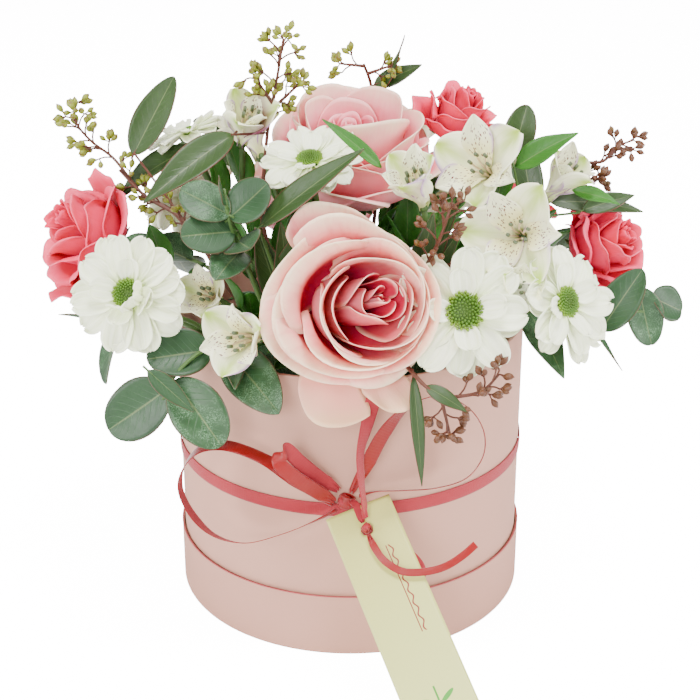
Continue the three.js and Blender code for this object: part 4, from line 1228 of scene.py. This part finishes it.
alstroemeria("alstroemeria_rear_right", (86, 40, 246), (.7, .4, .6), 24, spin=0.8, open_out=1.0, seed=49)
alstroemeria("alstroemeria_rear", (32, 84, 252), (.15, .75, .65), 25, spin=1.2, open_out=1.0, seed=50)


# ---------------------------------------------------------------- eucalyptus

def seed_bud(made, at, direction, length, rank):
    """A pointed seed bud with a short neck and a cap line."""
    wide = length * 0.29
    profile = [(0, 0), (0.22 * wide, 0.02 * length), (0.75 * wide, 0.28 * length), (wide, 0.52 * length),
               (0.80 * wide, 0.72 * length), (0.34 * wide, 0.88 * length), (0, length)]
    made.turned(profile, facing(at, direction), 8, 1, rank)


def seed_cluster(made, places, thick, rank, rng):
    """Seed buds on short twigs, in alternate bunches along the line and one at its end."""
    line = through(places, 40)
    total = length_of(line)
    made.tube(line, np.linspace(1.1, 0.6, 41) * MM, 6, 0, rank)
    bunches = max(3, round(total / (3.9 * MM)))
    for k in range(bunches):
        share = (k + 1) / bunches
        i = min(int(share * 40), 39)
        ahead = unit(line[i + 1] - line[i])
        side = unit(np.cross(ahead, (0, -1, 0.2)))
        out = np.cross(ahead, side)
        turn = k * 2.4 + rng.uniform(-0.3, 0.3)
        away = unit(0.75 * ahead + side * math.cos(turn) + 0.7 * out * math.sin(turn))
        last = k == bunches - 1
        reach = 0.0 if last else rng.uniform(0.75, 1.25) * thick * MM
        tip = line[i] + away * reach if not last else line[-1]
        if not last:
            twig = curve_through([line[i], blend(line[i], tip, 0.5) + ahead * 0.8 * MM, tip], 4)
            made.tube(twig, 0.5 * MM, 5, 0, rank)
        for _ in range(rng.integers(3, 6)):
            spread = unit(away + 1.1 * unit(rng.normal(size=3)))
            neck = tip + spread * rng.uniform(1.4, 3.0) * MM
            made.tube([tip, neck], 0.38 * MM, 5, 0, rank)
            seed_bud(made, neck, unit(spread + 0.4 * away), rng.uniform(4.8, 6.4) * MM,
                     float(np.clip(rank + rng.uniform(-0.25, 0.25), 0, 1)))


SPRIG_SLOTS = {"seeded_eucalyptus": ("seeded_eucalyptus", LONG_LEAF),
               "long_eucalyptus": ("long_leaf", LONG_LEAF),
               "silver_dollar": ("silver_leaf", SILVER_LEAF)}


def sprig(kind, where, route, leaves=(), branches=(), seeds=(), rank=0.0, fresh=(), seed=1, faces=FRONT):
    """A eucalyptus sprig: its stem, its leaves on short stalks, and any seed bunches. A leaf faces
    as the sprig does, unless it has its own direction last."""
    name = kind + "_" + where
    slot, leaf_material = SPRIG_SLOTS[kind]
    rng = np.random.default_rng(seed)
    made = Shape()
    line = through(route, 30)
    made.tube(line, np.linspace(1.5, 0.8, 31) * MM, 8, 0, rank)
    for places in branches:
        made.tube(through(places, 10), 0.7 * MM, 6, 0, rank)
    for start, end, width, *rest in leaves:
        up = unit(rest[0] if rest else faces)
        start, end = mm(*start), mm(*end)
        length = np.linalg.norm(end - start)
        shape = "round" if width * MM > 0.55 * length else "oval" if width * MM > 0.36 * length else "long"
        leaf(made, start, end, width * MM, up, 2, shape, bend=rng.uniform(-0.03, 0.08),
             twist=rng.uniform(-0.25, 0.25), cup=rng.uniform(0.02, 0.16), fold=0.05,
             wave=rng.uniform(0, 0.035), rank=rng.uniform(),
             steps=(21, 11) if width > 12 else (17, 7))
        stalk = start - unit(end - start) * 3 * MM
        made.tube([stalk, start, blend(start, end, 0.12)], [0.7 * MM, 0.6 * MM, 0.3 * MM], 6, 0, rank)
    for start, end, width in fresh:
        leaf(made, mm(*start), mm(*end), width * MM, FRONT, 3, bend=0.06, twist=0.3, wave=0.02)
    for places, thick in seeds:
        seed_cluster(made, places, max(thick * 1.4, 5), rank, rng)
    materials = [RED_STEM if seeds else GREEN_STEM, SEED, leaf_material, FRESH_LEAF]
    place_piece(made.build(name + "_foliage", materials), "arrangement", name)


sprig("seeded_eucalyptus", "left",
      route=[(-42, -10, 146), (-70, -18, 190), (-92, -15, 226), (-114, -10, 239), (-128, -4, 252)],
      leaves=[((-119, -8, 262), (-97, 10, 301), 19), ((-87, 6, 262), (-130, -2, 234), 17, (-.2, -.5, .85))],
      branches=[[(-92, -15, 226), (-119, -8, 263)], [(-92, -15, 226), (-87, 6, 263)]],
      seeds=[([(-84, -17, 214), (-100, -13, 232), (-114, -10, 239), (-132, 0, 258), (-143, 0, 267),
               (-150, 0, 276), (-152, 0, 284)], 5)],
      rank=0.12, seed=61)
sprig("seeded_eucalyptus", "top",
      route=[(-22, 4, 146), (-42, 2, 190), (-50, 0, 226), (-48, 0, 250), (-45, 0, 276), (-40, 0, 299)],
      leaves=[((-63, -19, 276), (-108, -58, 249), 19, (.2, -.6, .75))],
      branches=[[(-46, 0, 272), (-64, -20, 276)]],
      seeds=[([(-45, 0, 276), (-41, 0, 296), (-38, 0, 312), (-36, 0, 324)], 6),
             ([(-41, 0, 286), (-53, 0, 305)], 4), ([(-42, 0, 286), (-27, 0, 300)], 4)],
      rank=0.2, seed=62)
sprig("seeded_eucalyptus", "back",
      route=[(8, 40, 146), (14, 72, 190), (18, 78, 240), (12, 64, 286), (8, 58, 298)],
      leaves=[((16, 70, 280), (31, 42, 318), 13, (.9, -.3, .3)), ((14, 66, 284), (42, 62, 297), 11)],
      seeds=[([(8, 58, 297), (-6, 55, 299)], 5), ([(10, 60, 292), (24, 55, 298)], 4)],
      rank=0.1, seed=63)
sprig("seeded_eucalyptus", "right",
      route=[(42, 6, 146), (80, 6, 196), (112, 2, 232), (126, 0, 250), (132, 0, 257)],
      leaves=[((112, 2, 232), (167, 8, 224), 13, (.1, -.7, .7)),
              ((104, 4, 224), (98, 44, 270), 17, (.2, -.8, .6))],
      seeds=[([(130, 0, 255), (141, 0, 256), (148, 0, 264), (157, 0, 268)], 5),
             ([(122, 1, 245), (140, -4, 247)], 4)],
      rank=0.9, seed=64)
sprig("seeded_eucalyptus", "middle",
      route=[(24, -34, 146), (32, -54, 190), (38, -80, 218), (44, -92, 236)],
      leaves=[((26, -40, 160), (58, -70, 262), 9, (-.7, -.7, .2)), ((30, -50, 186), (58, -62, 236), 17),
              ((28, -48, 180), (22, -70, 234), 16), ((34, -56, 196), (44, -58, 244), 15)],
      seeds=[([(38, -80, 219), (46, -92, 243), (51, -92, 260)], 6)],
      rank=0.9, seed=65)
sprig("seeded_eucalyptus", "low",
      route=[(26, -66, 144), (28, -90, 172), (30, -112, 178), (38, -120, 172), (49, -122, 164)],
      leaves=[((32, -115, 176), (37, -125, 118), 7), ((38, -120, 172), (59, -125, 160), 8)],
      seeds=[([(46, -122, 166), (66, -122, 170), (75, -121, 179)], 5),
             ([(46, -122, 166), (51, -123, 146)], 5)],
      rank=0.95, seed=66)
sprig("long_eucalyptus", "centre",
      route=[(-24, -30, 146), (-36, -52, 196), (-44, -62, 226), (-47, -72, 240)],
      leaves=[((-47, -72, 240), (7, -84, 285), 16, (-.3, -.6, .75)),
              ((-38, -52, 192), (-24, -66, 240), 16), ((-36, -50, 186), (-50, -58, 236), 16),
              ((-32, -46, 180), (-36, -62, 240), 15)],
      fresh=[((16, -72, 272), (-14, -71, 297), 7)],
      seed=67)
sprig("long_eucalyptus", "right",
      route=[(54, -12, 146), (88, -20, 204), (100, -30, 236)],
      leaves=[((88, -22, 264), (95, -19, 292), 17), ((128, -16, 232), (158, -9, 239), 11)],
      branches=[[(96, -27, 228), (88, -22, 262)], [(98, -29, 232), (127, -16, 231)]],
      seed=68)
sprig("long_eucalyptus", "rear",
      route=[(-30, 44, 146), (-62, 84, 196), (-72, 98, 226), (-76, 104, 244)],
      leaves=[((-70, 96, 222), (-108, 104, 238), 19), ((-74, 101, 236), (-52, 120, 252), 18),
              ((-66, 90, 210), (-50, 126, 226), 17), ((-76, 104, 242), (-98, 108, 252), 16)],
      faces=REAR, seed=69)
sprig("silver_dollar", "upper",
      route=[(-30, -36, 146), (-46, -58, 190), (-56, -68, 224), (-62, -74, 244), (-64, -76, 262)],
      leaves=[((-62, -75, 248), (-87, -70, 260), 21), ((-63, -76, 254), (-66, -80, 270), 12, LEFT),
              ((-62, -74, 246), (-42, -72, 264), 22), ((-60, -72, 238), (-86, -86, 240), 24),
              ((-58, -70, 232), (-50, -94, 236), 22), ((-57, -68, 226), (-68, -96, 220), 20)],
      seed=70)
sprig("silver_dollar", "low_left",
      route=[(-46, -56, 142), (-62, -80, 174), (-76, -98, 182), (-90, -108, 172), (-96, -110, 160)],
      leaves=[((-72, -94, 181), (-104, -104, 180), 26), ((-93, -109, 166), (-126, -104, 140), 31),
              ((-90, -108, 170), (-66, -119, 138), 28), ((-102, -118, 180), (-79, -121, 158), 10),
              ((-64, -84, 176), (-36, -118, 156), 26), ((-60, -78, 172), (-58, -120, 170), 12)],
      seed=71)
sprig("silver_dollar", "left",
      route=[(-52, -30, 144), (-88, -50, 180), (-112, -62, 190), (-128, -74, 184)],
      leaves=[((-120, -68, 188), (-128, -90, 160), 23),
              ((-112, -62, 190), (-140, -52, 216), 22),
              ((-128, -74, 184), (-152, -82, 196), 10),
              ((-100, -56, 186), (-128, -30, 172), 24)],
      faces=LEFT, seed=72)
sprig("silver_dollar", "right",
      route=[(58, -26, 144), (96, -44, 182), (124, -50, 186), (150, -46, 184), (168, -38, 181)],
      leaves=[((137, -51, 175), (159, -42, 207), 21, (-.1, -.8, .55)),
              ((158, -42, 196), (167, -43, 163), 21, (.2, -.95, .1)),
              ((166, -39, 190), (185, -30, 178), 20, (.5, -.7, .5)),
              ((126, -50, 186), (147, -68, 158), 8, RIGHT), ((98, -46, 183), (112, -92, 164), 18)],
      seed=73)
sprig("silver_dollar", "rear_left",
      route=[(-54, 26, 144), (-86, 44, 178), (-108, 54, 180), (-124, 60, 168)],
      leaves=[((-96, 48, 181), (-122, 30, 196), 25), ((-112, 56, 178), (-144, 60, 184), 26),
              ((-122, 60, 170), (-134, 76, 148), 24), ((-104, 53, 180), (-102, 84, 160), 26, REAR)],
      faces=LEFT, seed=74)
sprig("silver_dollar", "rear",
      route=[(14, 56, 142), (22, 86, 176), (26, 108, 176), (28, 120, 162)],
      leaves=[((24, 98, 178), (0, 124, 176), 26), ((26, 110, 174), (54, 122, 164), 24),
              ((28, 119, 164), (14, 128, 138), 25)],
      faces=REAR, seed=75)
sprig("silver_dollar", "rear_right",
      route=[(56, 30, 144), (86, 50, 178), (112, 62, 182), (134, 66, 176)],
      leaves=[((104, 58, 182), (96, 92, 170), 25, REAR), ((118, 63, 181), (150, 46, 196), 26),
              ((130, 66, 178), (146, 82, 156), 23), ((134, 66, 176), (164, 70, 186), 20)],
      faces=RIGHT, seed=76)


# ---------------------------------------------------------------- floor and light

floor = bpy.data.meshes.new("floor")
floor.from_pydata([(-6, -6, 0), (6, -6, 0), (6, 6, 0), (-6, 6, 0)], [], [(0, 1, 2, 3)])
floor_piece = bpy.data.objects.new("floor", floor)
bpy.context.scene.collection.objects.link(floor_piece)
floor_white = Finish("floor_white", 0.7, Emission_Color=(1, 1, 1, 1))
seen_white = floor_white.math("MULTIPLY", floor_white.node("LightPath").outputs["Is Camera Ray"], 14.0)
floor_white.wire(seen_white, floor_white.shader.inputs["Emission Strength"])
floor_white.colour(floor_white.mix(floor_white.noise(2), (0.9, 0.9, 0.9), (0.92, 0.92, 0.92)))
floor.materials.append(floor_white.made)


def soft_light(name, place, height, size, power):
    lamp = bpy.data.lights.new(name, "AREA")
    lamp.shape = "DISK"
    lamp.size = size
    lamp.energy = power
    holder = bpy.data.objects.new(name, lamp)
    holder.location = place
    holder.rotation_euler = (Vector((0, 0, height)) - Vector(place)).to_track_quat("-Z", "Y").to_euler()
    bpy.context.scene.collection.objects.link(holder)


world = bpy.data.worlds.new("studio")
world.use_nodes = True
world.node_tree.nodes["Background"].inputs["Color"].default_value = (1, 1, 1, 1)
world.node_tree.nodes["Background"].inputs["Strength"].default_value = 0.42
bpy.context.scene.world = world
soft_light("front", (-0.5, -1.9, 0.9), 0.15, 0.8, 44)
soft_light("left", (-1.7, -0.5, 0.7), 0.15, 1.0, 38)
soft_light("right", (1.7, -0.5, 0.7), 0.15, 1.0, 46)
soft_light("top", (0.2, -0.4, 1.9), 0.2, 0.8, 52)
soft_light("back", (-0.4, 1.7, 1.3), 0.2, 1.2, 24)
